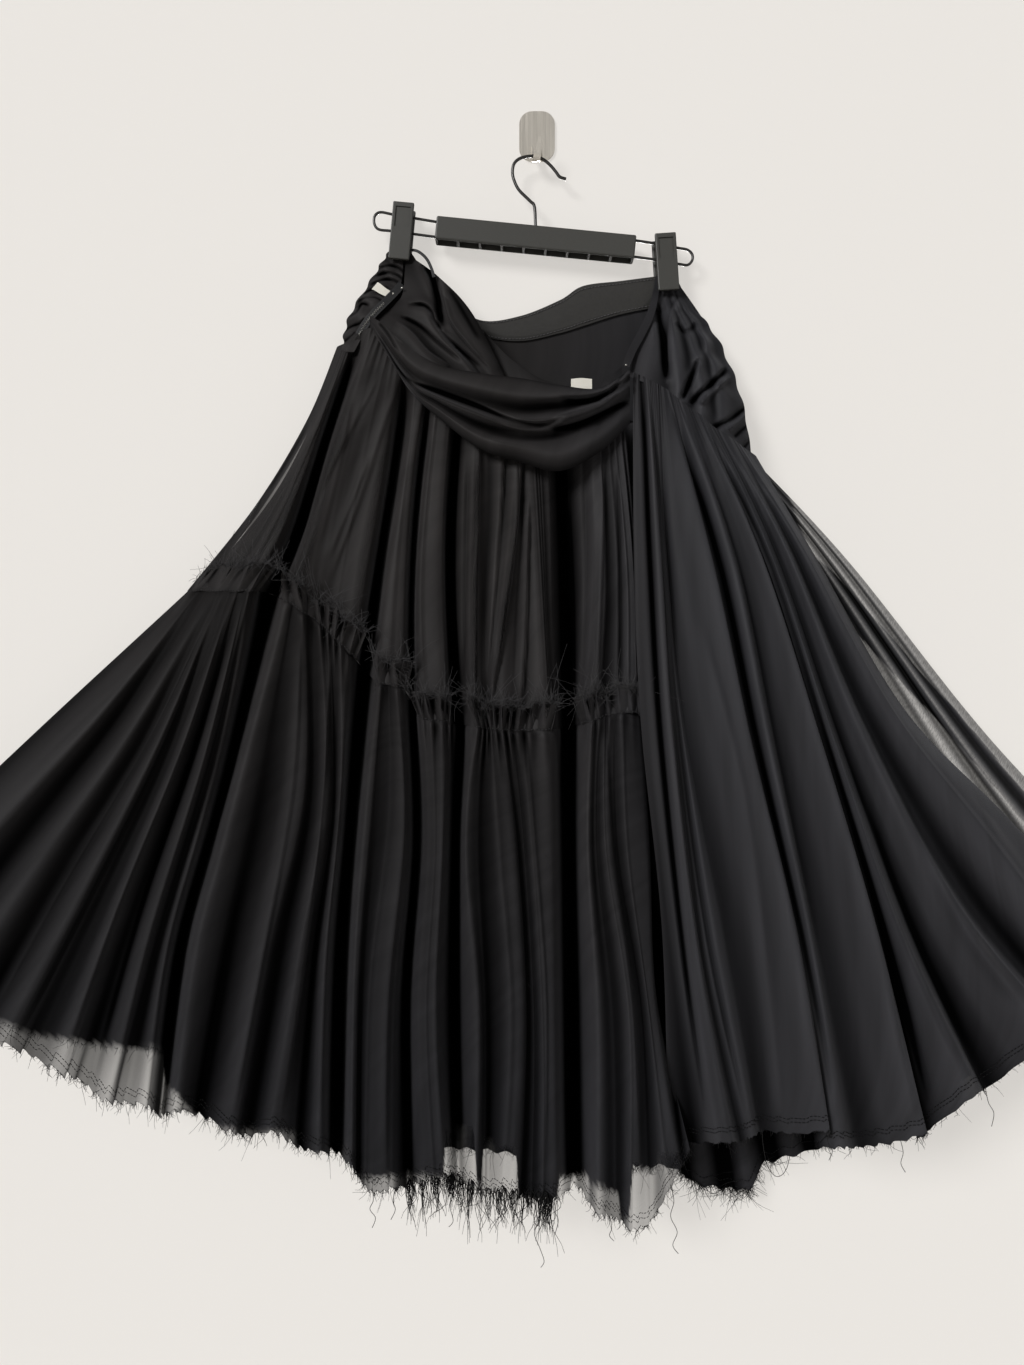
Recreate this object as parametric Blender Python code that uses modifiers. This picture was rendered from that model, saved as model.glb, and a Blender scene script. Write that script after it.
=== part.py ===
"""A tiered midi skirt of black chiffon, clipped to a hanger that hangs from a small wall hook.

Places on the cloth are read on the wall as on a drawing sheet: "side" is millimetres to the right and
"drop" millimetres down from the sheet's top left corner, as an eye straight in front of the wall sees
them. "Depth" is millimetres off the wall. Points nearer to the eye are drawn in towards it, so the
outline keeps its place however far the cloth stands off. The origin is the centre of the hook plate's
back, +X is right, +Y goes into the wall and +Z is up.
"""

import math
from collections import namedtuple

import bmesh
import bpy
from mathutils import Vector

MM = 0.001

# Where the sheet's eye stands, and where the hook plate's centre is on the sheet.
EYE_SIDE, EYE_DROP, EYE_DISTANCE = 512.0, 682.5, 1025.0
HOOK_SIDE, HOOK_DROP = 537.0, 137.0

# Cloth sizes.
CLOTH = 1.4
LAP = 3.0
LAP_HEIGHT = 3.0
SEAM_GAP = 2.6
BACK_DEPTH = 16.0
BACK_PLEATS = 32
HEADER_WAVES = 60
HEADER_HEIGHT = 24.0
HEADER_STAND_OFF = 6.0
FRINGE_BEHIND = 2.9
LABEL_STAND_OFF = 4.3

# Hanger and hook sizes.
PLATE_WIDTH, PLATE_HEIGHT, PLATE_THICKNESS, PLATE_CORNER = 35.5, 50.0, 1.6, 13.0
PRONG_THICKNESS = 1.6
HOOK_WIRE, LOOP_WIRE = 3.0, 2.6
HANGER_DEPTH = 16.0
BAR_LENGTH, BAR_HEIGHT, BAR_DEPTH = 196.0, 22.6, 18.0
BAR_SIDE, BAR_DROP, BAR_TILT = 535.6, 236.3, 5.57
BAR_WALL, BAR_POCKETS = 2.4, 9
CLIP_WIDTH, CLIP_HEIGHT, JAW_THICKNESS = 20.5, 56.0, 4.2
BACK_JAW_FACE, FRONT_JAW_FACE = 9.2, 20.6
SPRING_RADIUS, SPRING_LENGTH = 5.4, 13.0
SADDLE_HEIGHT, SADDLE_FACE = 5.0, 17.6
WIRE_RISES = (8.1, -8.1)

Fold = namedtuple("Fold", "name out points")
Clip = namedtuple("Clip", "name side drop tilt spring_up")
Fringe = namedtuple("Fringe", "name first_fold last_fold strands")

CLIPS = (
    Clip("clip_left", 401.3, 231.0, -5.2, 10.0),
    Clip("clip_right", 667.0, 261.8, 3.8, 11.3),
)
FRINGES = (
    Fringe("hem_fringe_left", 27.1, 27.95, 9),
    Fringe("hem_fringe_right", 30.1, 34.9, 34),
)

# The line where the tiers hang from the yokes: side, drop and depth.
TIER_LINE = (
    (341, 346, 30),
    (347, 347, 42),
    (355, 346, 50),
    (374, 339, 56),
    (403, 352, 61),
    (440, 368, 65),
    (480, 384, 67),
    (520, 400, 68),
    (560, 410, 68),
    (600, 410, 67),
    (632, 398, 63),
)

# Upper tier folds, left to right. "out" is how far a fold stands from the back (0) to the panel's
# front (1), or the depths themselves; the points are side and drop at top, thigh, knee and seam.
UPPER_TIER = (
    Fold("side_end", (17.6, 18.5, 18.5, 18.5), ((341, 350), (313, 422), (262, 508), (197, 592))),
    Fold("side_edge", (30, 38, 42, 44), ((337, 347), (307, 420), (256, 505), (188, 591))),
    Fold("a_valley", 0.80, ((345, 0), (314, 426), (268, 514), (222, 591))),
    Fold("a_crest", 0.92, ((351, 0), (320, 430), (284, 522), (250, 591))),
    Fold("ab_valley", 0.62, ((361, 0), (329, 434), (300, 530), (268, 593))),
    Fold("b_left", 1.00, ((374, 0), (337, 430), (310, 530), (287, 602))),
    Fold("b_valley", 0.88, ((383, 0), (354, 440), (335, 535), (318, 622))),
    Fold("b_crest", 0.98, ((392, 0), (370, 450), (352, 545), (335, 639))),
    Fold("b_right", 0.96, ((402, 0), (390, 455), (375, 550), (353, 656))),
    Fold("bc_valley", 0.66, ((407, 0), (394, 458), (379, 556), (365, 670))),
    Fold("c_left", 0.98, ((414, 0), (400, 470), (388, 565), (378, 682))),
    Fold("c_right", 0.94, ((428, 0), (415, 475), (408, 575), (404, 689))),
    Fold("cd_valley", 0.70, ((432, 0), (418, 480), (411, 580), (412, 702))),
    Fold("d_left", 0.95, ((438, 0), (423, 490), (415, 590), (421, 718))),
    Fold("d_right", 0.98, ((453, 0), (443, 500), (442, 600), (446, 722))),
    Fold("de_valley", 0.78, ((459, 0), (450, 505), (449, 604), (456, 724))),
    Fold("e_left", 1.00, ((476, 0), (475, 510), (474, 610), (477, 727))),
    Fold("e_valley_1", 0.88, ((488, 0), (489, 512), (485, 611), (487, 729))),
    Fold("e_middle", 0.98, ((508, 0), (514, 520), (506, 613), (500, 730))),
    Fold("e_valley_2", 0.90, ((516, 0), (522, 524), (519, 615), (516, 731))),
    Fold("e_right", 1.00, ((528, 0), (536, 530), (541, 620), (547, 730))),
    Fold("ef_slope", 0.84, ((544, 0), (549, 534), (551, 622), (556, 729))),
    Fold("ef_valley", 0.62, ((568, 0), (571, 535), (572, 622), (570, 726))),
    Fold("f_left", 0.96, ((592, 0), (597, 510), (597, 605), (590, 722))),
    Fold("f_valley", 0.88, ((601, 0), (608, 505), (612, 600), (606, 716))),
    Fold("f_middle", 1.00, ((611, 0), (623, 498), (630, 592), (631, 712))),
    Fold("f_right", 0.90, ((622, 0), (631, 490), (638, 590), (642, 716))),
)
UPPER_FRONT, UPPER_GROWTH = (0, 76, 82, 86), (0, 0.75, 1.0, 1.0)

# Lower tier folds, the same way: side at the seam, then thigh, knee and hem.
LOWER_TIER = (
    Fold("side_end", (18.5, 19, 19.5, 19.5), ((197, 592), (81, 702), (-43, 821), (-160, 931))),
    Fold("side_edge", (44, 46, 46, 44), ((188, 591), (74, 697), (-51, 815), (-168, 927))),
    Fold("a_crest_1", 0.90, ((197, 0), (98, 712), (-22, 842), (-122, 973))),
    Fold("a_valley_1", 0.74, ((204, 0), (115, 720), (5, 860), (-92, 996))),
    Fold("a_crest_2", 0.95, ((211, 0), (132, 730), (33, 873), (-60, 1016))),
    Fold("a_valley_2", 0.76, ((217, 0), (146, 735), (57, 885), (-28, 1030))),
    Fold("a_crest_3", 0.97, ((223, 0), (159, 741), (80, 895), (0, 1043))),
    Fold("a_valley_3", 0.80, ((229, 0), (170, 746), (99, 903), (28, 1054))),
    Fold("a_crest_4", 0.96, ((234, 0), (181, 750), (115, 915), (56, 1071))),
    Fold("a_valley_4", 0.80, ((239, 0), (192, 753), (131, 925), (82, 1082))),
    Fold("a_crest_5", 0.95, ((244, 0), (203, 756), (146, 935), (104, 1101))),
    Fold("a_valley_5", 0.82, ((249, 0), (212, 758), (160, 940), (126, 1103))),
    Fold("a_crest_6", 0.92, ((255, 0), (222, 761), (172, 942), (146, 1106))),
    Fold("ab_valley", 0.60, ((268, 0), (231, 770), (182, 942), (160, 1116))),
    Fold("b_crest_1", 1.00, ((285, 0), (237, 775), (195, 940), (172, 1112))),
    Fold("b_valley_1", 0.80, ((293, 0), (264, 782), (228, 945), (197, 1114))),
    Fold("b_crest_2", 0.96, ((302, 0), (299, 790), (262, 952), (228, 1131))),
    Fold("b_valley_2", 0.82, ((312, 0), (312, 795), (281, 955), (249, 1136))),
    Fold("b_crest_3", 1.00, ((322, 0), (326, 800), (300, 957), (273, 1132))),
    Fold("b_valley_3", 0.84, ((333, 0), (334, 805), (314, 962), (300, 1148))),
    Fold("b_crest_4", 0.95, ((345, 0), (342, 810), (327, 966), (322, 1153))),
    Fold("bc_valley", 0.62, ((365, 0), (350, 815), (340, 970), (336, 1152))),
    Fold("c_crest_1", 0.96, ((377, 0), (362, 815), (352, 980), (350, 1166))),
    Fold("c_valley_1", 0.86, ((385, 0), (379, 815), (363, 985), (359, 1178))),
    Fold("c_crest_2", 1.00, ((393, 0), (396, 820), (375, 990), (371, 1192))),
    Fold("c_right", 0.96, ((403, 0), (410, 840), (394, 1000), (392, 1190))),
    Fold("cd_valley", 0.72, ((412, 0), (417, 842), (404, 1005), (407, 1186))),
    Fold("d_crest_1", 0.96, ((422, 0), (428, 845), (418, 1010), (425, 1184))),
    Fold("d_crest_2", 1.00, ((445, 0), (444, 850), (437, 1015), (446, 1180))),
    Fold("de_valley", 0.76, ((456, 0), (454, 850), (453, 1015), (460, 1183))),
    Fold("e_crest_1", 0.97, ((476, 0), (465, 842), (477, 1010), (475, 1190))),
    Fold("e_valley_1", 0.85, ((485, 0), (481, 845), (488, 1015), (487, 1193))),
    Fold("e_crest_2", 1.00, ((498, 0), (511, 850), (519, 1020), (510, 1196))),
    Fold("e_valley_2", 0.86, ((508, 0), (521, 852), (530, 1022), (526, 1198))),
    Fold("e_crest_3", 0.98, ((524, 0), (534, 852), (544, 1022), (545, 1200))),
    Fold("e_right", 0.94, ((548, 0), (555, 852), (558, 1020), (560, 1198))),
    Fold("ef_valley", 0.58, ((570, 0), (571, 850), (574, 1015), (576, 1185))),
    Fold("f_crest_1", 0.96, ((590, 0), (587, 850), (597, 1020), (597, 1214))),
    Fold("f_valley_1", 0.86, ((598, 0), (595, 850), (611, 1020), (614, 1218))),
    Fold("f_crest_2", 1.00, ((606, 0), (607, 850), (631, 1020), (632, 1230))),
    Fold("f_valley_2", 0.88, ((614, 0), (617, 850), (642, 1018), (650, 1222))),
    Fold("f_crest_3", 0.98, ((625, 0), (630, 850), (650, 1010), (672, 1185))),
    Fold("f_edge", 0.94, ((641, 0), (650, 850), (657, 1000), (690, 1150))),
)
LOWER_FRONT, LOWER_GROWTH = (0, 88, 91, 93), (0, 0.85, 1.0, 1.15)

# Back skirt guides: side and drop at top, thigh, knee and hem.
BACK_GUIDES = (
    ((342, 347), (263, 510), (62, 722), (-164, 928)),
    ((400, 360), (345, 560), (225, 850), (163, 1046)),
    ((470, 380), (440, 600), (385, 900), (347, 1132)),
    ((545, 397), (530, 620), (510, 900), (500, 1152)),
    ((615, 411), (615, 630), (625, 900), (650, 1166)),
    ((685, 430), (722, 620), (785, 900), (850, 1158)),
    ((722, 444), (802, 590), (930, 840), (1024, 1066)),
    ((753, 459), (852, 566), (1000, 754), (1170, 925)),
)
BACK_MIDDLE, BACK_SWING = (10.6, 16.0, 16.0, 16.0), (1.2, 6.0, 8.0, 9.5)

# Overskirt folds: side and drop at seam, thigh, knee, shin and hem.
OVERSKIRT = (
    Fold("left_edge", (66, 94, 100, 90, 73), ((633, 0), (634, 560), (641, 725), (662, 930), (668, 1143))),
    Fold("left_tuck", (67, 96, 101, 92, 77), ((638, 0), (639, 562), (648, 727), (668, 932), (694, 1143))),
    Fold("crest_1", 0.97, ((647, 0), (660, 560), (671, 730), (694, 940), (728, 1143))),
    Fold("valley_1", 0.86, ((651, 0), (662, 565), (674, 735), (701, 945), (742, 1141))),
    Fold("crest_2", 0.93, ((655, 0), (666, 565), (682, 735), (716, 945), (753, 1137))),
    Fold("valley_2", 0.84, ((659, 0), (670, 568), (690, 737), (733, 945), (765, 1131))),
    Fold("crest_3", 0.95, ((663, 0), (684, 568), (715, 737), (765, 938), (795, 1134))),
    Fold("crest_4", 1.00, ((668, 0), (713, 566), (750, 740), (797, 936), (830, 1132))),
    Fold("valley_4", 0.84, ((673, 0), (712, 572), (748, 746), (794, 942), (815, 1146))),
    Fold("crest_5", 0.97, ((678, 0), (732, 562), (769, 746), (812, 950), (842, 1148))),
    Fold("valley_5", 0.84, ((684, 0), (738, 561), (778, 746), (822, 946), (862, 1147))),
    Fold("crest_6", 0.93, ((690, 0), (750, 560), (797, 742), (848, 936), (893, 1143))),
    Fold("crest_7", 1.00, ((698, 0), (763, 560), (820, 740), (877, 935), (927, 1134))),
    Fold("valley_7", 0.84, ((704, 0), (764, 564), (822, 745), (880, 940), (919, 1137))),
    Fold("crest_8", 0.97, ((711, 0), (773, 560), (834, 741), (903, 935), (978, 1094))),
    Fold("valley_8", 0.84, ((717, 0), (777, 556), (840, 738), (914, 929), (990, 1086))),
    Fold("crest_9", 1.00, ((725, 0), (787, 550), (860, 730), (952, 908), (1058, 1036))),
    Fold("valley_9", 0.84, ((731, 0), (791, 548), (868, 722), (966, 894), (1072, 1024))),
    Fold("crest_10", 0.97, ((738, 0), (799, 545), (888, 712), (985, 848), (1098, 996))),
    Fold("valley_10", 0.84, ((744, 0), (806, 548), (896, 708), (998, 832), (1112, 980))),
    Fold("right_edge", (38, 56, 62, 64, 64), ((756, 456), (815, 556), (905, 710), (1012, 822), (1132, 957))),
    Fold("side_end", (20, 25, 28, 28.5, 28.5), ((753.5, 458), (811, 560), (899, 716), (1004, 830), (1124, 964))),
)
OVERSKIRT_FRONT, OVERSKIRT_GROWTH = (0, 98, 108, 113, 115), (0, 0.7, 0.9, 1.0, 1.15)

# Right hip yoke folds: side, drop and depth from the clip to the overskirt's seam.
HIP_YOKE = (
    ((658, 272, 13.4), (653, 296, 16), (645, 330, 36), (634, 352, 50), (628, 376, 60)),
    ((660, 272, 14.0), (657, 297, 18), (656, 330, 43), (650, 357, 59), (645, 383, 68)),
    ((661, 272, 14.0), (662, 298, 16), (666, 330, 38), (667, 362, 55), (667, 395, 65)),
    ((663, 272, 14.4), (666, 298, 18), (674, 330, 44), (679, 362, 62), (680, 406, 72)),
    ((665, 272, 14.4), (670, 298, 16), (682, 331, 37), (690, 370, 55), (691, 414, 65)),
    ((667, 272, 14.4), (674, 298, 18), (690, 335, 42), (702, 378, 61), (703, 422, 71)),
    ((669, 272, 14.4), (677, 298, 15), (697, 335, 34), (711, 380, 52), (714, 433, 62)),
    ((671, 272, 14.0), (680, 298, 16), (704, 337, 37), (721, 385, 54), (726, 440, 62)),
    ((673, 272, 14.0), (683, 298, 15), (710, 338, 29), (732, 392, 42), (740, 450, 50)),
    ((675, 272, 13.6), (686, 298, 14.2), (717, 338, 24), (741, 397, 31), (752, 460, 35)),
    ((674, 272, 12.9), (683, 298, 13.2), (713, 338, 16.5), (738, 398, 17.2), (749, 461, 17.6)),
)

# Left yoke, from the zip round to the back: side, drop and depth from the clip down.
LEFT_YOKE = (
    ((403, 248, 13.6), (400, 286, 24), (377, 311, 38), (354, 352, 49)),
    ((398, 248, 13.6), (392, 280, 23), (367, 309, 36), (350, 352, 45)),
    ((394, 248, 13.4), (384, 273, 20), (358, 308, 30), (346, 352, 40)),
    ((391, 248, 13.2), (376, 272, 16.5), (349, 317, 24), (342, 350, 29)),
    ((392, 248, 12.8), (379, 274, 14.6), (353, 318, 17), (345, 351, 17.6)),
)
LEFT_WRINKLES, WRINKLE_DEPTH = 7, 1.6

# Front yoke drapery: folds fan out of the clip and the zip to the swag.
FRONT_YOKE = (
    ((367.8, 327.2, 43.3), (379, 336, 50), (392, 345, 55), (406, 356, 59)),
    ((380.6, 317.6, 39.7), (398, 328, 50), (417, 348, 58), (445, 374, 64)),
    ((388.6, 310.6, 35.7), (409, 321, 44), (433, 348, 54), (466, 384, 60)),
    ((396.6, 302.6, 31.7), (426, 311, 46), (446, 340, 59), (486, 390, 65)),
    ((403, 291.5, 28), (429, 300, 38), (452, 338, 51), (498, 394, 60)),
    ((406, 257, 15.6), (432, 293, 36), (464, 335, 53), (509, 398, 64)),
    ((410, 256, 15.6), (440, 278, 30), (474, 316, 43), (513, 394, 58)),
)

# Front waist facing behind the swag, left to right: top edge, middle and tier line.
FRONT_WAIST = (
    ((484, 331, 34), (488, 362, 42), (492, 393, 49)),
    ((510, 358, 44), (512, 381, 49), (514, 404, 54)),
    ((540, 378, 54), (540, 395, 62), (540, 412, 67.6)),
    ((570, 387, 61), (570, 402, 65.5), (570, 417, 67.6)),
    ((592, 391, 62), (594, 404, 65.5), (595, 417, 67)),
    ((610, 376, 59), (611, 394, 62.5), (612, 413, 65.6)),
    ((622, 367, 55), (623, 387, 59), (624, 407, 63.6)),
)

# Swag of three folds: drops of each fold at the named sides, and the depths of crests and valleys.
SWAG_SIDES = (370, 380, 410, 440, 480, 520, 560, 600, 630)
SWAG_CREST = (49.9, 69, 82, 88, 94, 97, 97, 90, 76)
SWAG_VALLEY = (49.5, 67, 77, 81, 85, 87, 87, 82, 73)
SWAG_FOLDS = (
    ("top_edge", SWAG_VALLEY, (316, 322, 348, 365, 373, 378, 385, 388, 369)),
    ("crest_1", SWAG_CREST, (318, 328, 362, 378, 388, 395, 396, 392, 373)),
    ("valley_1", SWAG_VALLEY, (320, 333, 373, 389, 402, 409, 406, 398, 378)),
    ("crest_2", SWAG_CREST, (322, 336, 379, 399, 415, 422, 419, 406, 385)),
    ("valley_2", SWAG_VALLEY, (324, 338, 384, 404, 425, 433, 434, 419, 396)),
    ("crest_3", SWAG_CREST, (326, 341, 388, 411, 437, 448, 454, 436, 411)),
    ("bottom_edge", SWAG_VALLEY, (328, 343, 391, 419, 449, 462, 471, 452, 424)),
)

# Back yoke and waist band, left to right.
BACK_YOKE = (
    ((391, 248, 10.7), (374, 290, 11.6), (355, 322, 12.8), (344, 353, 14)),
    ((409, 250, 10.7), (404, 290, 11.6), (401, 330, 12.8), (400, 366, 14)),
    ((445, 306, 10.9), (444, 330, 11.8), (444, 352, 12.8), (443, 378, 14)),
    ((484, 330, 11.2), (484, 350, 12), (484, 368, 13), (484, 390, 14)),
    ((520, 336, 11.4), (520, 355, 12), (520, 376, 13), (520, 398, 14)),
    ((560, 328, 11.4), (560, 355, 12), (561, 382, 13), (562, 406, 14)),
    ((600, 316, 11.2), (602, 350, 12), (606, 384, 13), (612, 416, 14)),
    ((640, 308, 11.0), (648, 345, 12), (658, 388, 13), (668, 431, 14)),
    ((660, 284, 10.7), (676, 330, 11.8), (698, 385, 13), (716, 447, 14)),
    ((673, 276, 10.7), (712, 334, 11.6), (738, 395, 12.8), (751, 463, 14)),
)
BACK_BAND = (
    ((414, 266, 13.3), (412, 281, 13.3)),
    ((445, 297, 13.3), (443, 312, 13.3)),
    ((480, 320, 13.5), (482, 335, 13.5)),
    ((520, 316, 13.7), (520, 341, 13.7)),
    ((560, 300, 13.7), (560, 333, 13.7)),
    ((583, 286, 13.7), (583, 326, 13.7)),
    ((620, 281, 13.5), (618, 315, 13.5)),
    ((650, 277, 13.3), (643, 311, 13.3)),
)

# Narrow strips: centre line as side, drop and depth.
WAIST_STRIP = (
    (626, 366, 67),
    (632, 351, 58.5),
    (640, 336, 49),
    (648, 320, 38.5),
    (653, 306, 27.5),
    (656, 291, 18.4),
    (659, 276, 17.6),
)
ZIP_LINE = (
    (402, 284, 29),
    (393, 294, 35),
    (383, 304, 40.5),
    (374, 313, 45),
    (366, 323, 48.5),
    (359, 335, 52),
)
HANGING_LOOP = (
    (404, 250, 19.6),
    (411, 250, 19.6),
    (417, 251, 21.5),
    (423, 255, 26),
    (428, 261, 30),
    (432, 270, 32),
    (434, 277, 33),
)
WAIST_LABEL = (
    ((571, 379, 57.6), (571, 398, 61.2)),
    ((581, 378, 58.0), (581, 399, 61.5)),
    ((592, 379, 58.2), (592, 399, 61.2)),
)

# Hanger wires and the hook's prong: side, drop and depth.
HOOK_WIRE_LINE = (
    (535.6, 228.3, 16),
    (534.5, 207, 16),
    (530, 201, 16),
    (519, 190, 16),
    (514, 180, 16),
    (512.5, 172, 16),
    (514, 164, 16),
    (519, 159, 16),
    (527, 156.5, 16),
    (535.5, 156.5, 16),
    (544, 160, 16),
    (551, 166, 16),
    (556, 172, 16),
    (560, 177, 16),
    (566, 179, 16),
)
LEFT_LOOP = (
    (436.7, 222.0, 16),
    (413, 218, 16),
    (393, 214.5, 16),
    (381, 212.3, 16),
    (375.5, 215.0, 16),
    (374, 220.5, 16),
    (375.5, 226.5, 16),
    (380, 229.8, 16),
    (391, 231, 16),
    (411, 233.7, 16),
    (435.2, 237.0, 16),
)
RIGHT_LOOP = (
    (635.9, 240.6, 16),
    (658, 244, 16),
    (678, 248, 16),
    (687, 249.7, 16),
    (692, 254, 16),
    (692.3, 260, 16),
    (688, 264.8, 16),
    (680, 264.3, 16),
    (657, 260, 16),
    (634.4, 256.9, 16),
)
PRONG_LINE = (
    (536, 146, 2.8),
    (536, 152, 3.6),
    (536, 157, 6.5),
    (536, 160.2, 11),
    (536, 161.0, 16),
    (536.5, 159.5, 20.5),
    (537.5, 154, 23),
    (539, 146, 24),
    (541, 136.5, 24.6),
)
PRONG_WIDTHS = (8, 8, 8, 8, 8, 7.6, 7, 6.2, 5.2)

CHIFFON = ("chiffon", (0.020, 0.020, 0.022), 0.8, 0.0)
TULLE = ("tulle", (0.05, 0.05, 0.053), 0.85, 0.0)
TAPE = ("tape", (0.015, 0.015, 0.016), 0.6, 0.0)
LABEL = ("label", (0.72, 0.70, 0.64), 0.7, 0.0)
PLASTIC = ("hanger_plastic", (0.062, 0.062, 0.056), 0.45, 0.0)
STEEL = ("steel", (0.55, 0.55, 0.54), 0.3, 1.0)


def clear_scene():
    """Removes whatever the scene holds."""
    for thing in list(bpy.data.objects):
        bpy.data.objects.remove(thing, do_unlink=True)


def new_collection(name, hidden=False):
    """A collection in the scene; a hidden one holds cutters."""
    group = bpy.data.collections.new(name)
    group.hide_render = hidden
    bpy.context.scene.collection.children.link(group)
    return group


clear_scene()
PARTS = new_collection("midi_skirt")
CUTTERS = new_collection("cutters", hidden=True)


def finish(thing, look, group=None):
    """Puts an object in its collection with a material of its own."""
    for holder in list(thing.users_collection):
        holder.objects.unlink(thing)
    (group or PARTS).objects.link(thing)
    kind, colour, roughness, metallic = look
    material = bpy.data.materials.new(kind + "_" + thing.name)
    material.use_nodes = True
    shader = material.node_tree.nodes["Principled BSDF"]
    shader.inputs["Base Color"].default_value = (*colour, 1.0)
    shader.inputs["Roughness"].default_value = roughness
    shader.inputs["Metallic"].default_value = metallic
    thing.data.materials.clear()
    thing.data.materials.append(material)
    return thing


def on_sheet(side, drop, depth):
    """The point in metres that the eye sees at this side and drop, standing depth off the wall."""
    nearer = 1.0 - depth / EYE_DISTANCE
    across = EYE_SIDE + (side - EYE_SIDE) * nearer - HOOK_SIDE
    down = EYE_DROP + (drop - EYE_DROP) * nearer - HOOK_DROP
    return Vector((across, -depth, -down)) * MM


def between(values, where):
    """A smooth value at a place along a list of numbers or points, 0 at its start and 1 at its end."""
    last = len(values) - 1
    index = min(int(where * last), last - 1)
    t = where * last - index
    p0, p1, p2, p3 = (Vector(values[min(max(index + k, 0), last)]) for k in (-1, 0, 1, 2))
    return 0.5 * (2 * p1 + (p2 - p0) * t + (2 * p0 - 5 * p1 + 4 * p2 - p3) * t**2 + (3 * (p1 - p2) + p3 - p0) * t**3)


def read_off(line, side):
    """Drop and depth of a line of side, drop and depth rows at one side."""
    for start, end in zip(line, line[1:]):
        if side <= end[0] or end is line[-1]:
            t = min(max((side - start[0]) / (end[0] - start[0]), 0.0), 1.0)
            return start[1] + (end[1] - start[1]) * t, start[2] + (end[2] - start[2]) * t
    raise ValueError(side)


def fold_guides(folds, front, growth, back, line, lap=(LAP_HEIGHT, LAP)):
    """Each fold's points with their depth; a fold's first point may hang on a line of the piece above."""
    guides = []
    for fold in folds:
        points = []
        for level, (side, drop) in enumerate(fold.points):
            if isinstance(fold.out, tuple):
                depth = fold.out[level]
                if drop == 0:
                    drop = read_off(line, side)[0] - lap[0]
            elif level == 0:
                drop, depth = read_off(line, side)
                drop, depth = drop - lap[0], depth + lap[1]
            else:
                share = 1 - (1 - fold.out) * growth[level]
                depth = back + (front[level] - back) * share
            points.append((side, drop, depth))
        guides.append(points)
    return guides


def loft(guides):
    """A surface through guides: u runs across them and v along them."""

    def place(u, v):
        return between([tuple(between(guide, v)) for guide in guides], u)

    return place


def faceted(place, across):
    """The same surface as its own grid shows it, straight between columns."""

    def flat(u, v):
        column = min(int(u * across), across - 1)
        t = u * across - column
        return place(column / across, v).lerp(place((column + 1) / across, v), t)

    return flat


def cloth(name, place, across, down, look=CHIFFON, thickness=CLOTH):
    """A cloth wall: a grid moved to the surface and thickened to both sides."""
    mesh = bpy.data.meshes.new(name)
    grid = bmesh.new()
    bmesh.ops.create_grid(grid, x_segments=across, y_segments=down, size=0.5)
    for vert in grid.verts:
        vert.co = on_sheet(*place(vert.co.x + 0.5, 0.5 - vert.co.y))
    grid.to_mesh(mesh)
    grid.free()
    mesh.shade_smooth()
    panel = bpy.data.objects.new(name, mesh)
    wall = panel.modifiers.new("Wall", "SOLIDIFY")
    wall.thickness = thickness * MM
    wall.offset = 0.0
    return finish(panel, look)


def strip(name, line, widths, steps, look, thickness):
    """A flat strap along a centre line, its width across the sheet."""

    def place(u, v):
        point = between(line, v)
        width = between([(value, 0.0) for value in widths], v)[0]
        ahead = between(line, min(v + 0.02, 1.0)) - between(line, max(v - 0.02, 0.0))
        flat = Vector((-ahead.y, ahead.x))
        level = flat.normalized() if flat.length > 0.3 * ahead.length else Vector((1.0, 0.0))
        level = level if level.x > 0 else -level
        return Vector((point.x + level.x * width * (u - 0.5), point.y + level.y * width * (u - 0.5), point.z))

    return cloth(name, place, 1, steps, look, thickness)


def wire(name, line, diameter, steps, look):
    """A round wire along a smooth line."""
    curve = bpy.data.curves.new(name, "CURVE")
    curve.dimensions = "3D"
    curve.bevel_depth = diameter / 2 * MM
    curve.bevel_resolution = 2
    curve.use_fill_caps = True
    spline = curve.splines.new("POLY")
    spline.points.add(steps)
    for index, point in enumerate(spline.points):
        point.co = (*on_sheet(*between(line, index / steps)), 1.0)
    spline.use_smooth = True
    return finish(bpy.data.objects.new(name, curve), look)


def block(name, size, place, tilt=(0.0, 0.0, 0.0), look=PLASTIC, round_off=0.0, cutter=False):
    """A box in millimetres at a place in metres, its edges rounded off."""
    bpy.ops.mesh.primitive_cube_add(size=1.0)
    box = bpy.context.object
    box.name = name
    for vert in box.data.vertices:
        vert.co = Vector(vert.co[axis] * size[axis] * MM for axis in range(3))
    box.location = place
    box.rotation_euler = [math.radians(angle) for angle in tilt]
    finish(box, look, CUTTERS if cutter else None)
    if round_off:
        bevel = box.modifiers.new("Rounding", "BEVEL")
        bevel.width = round_off * MM
        bevel.segments = 2
    if cutter:
        box.hide_render = True
        box.display_type = "WIRE"
    return box


def cut(thing, cutter):
    """Takes the cutter's shape out of the object."""
    hole = thing.modifiers.new("Cut", "BOOLEAN")
    hole.operation = "DIFFERENCE"
    hole.object = cutter


def along(base, tilt, right, up):
    """A place that lies right and up, in millimetres, from a base turned in the wall's plane."""
    angle = math.radians(tilt)
    x = right * math.cos(angle) - up * math.sin(angle)
    z = right * math.sin(angle) + up * math.cos(angle)
    return base + Vector((x, 0.0, z)) * MM


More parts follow.
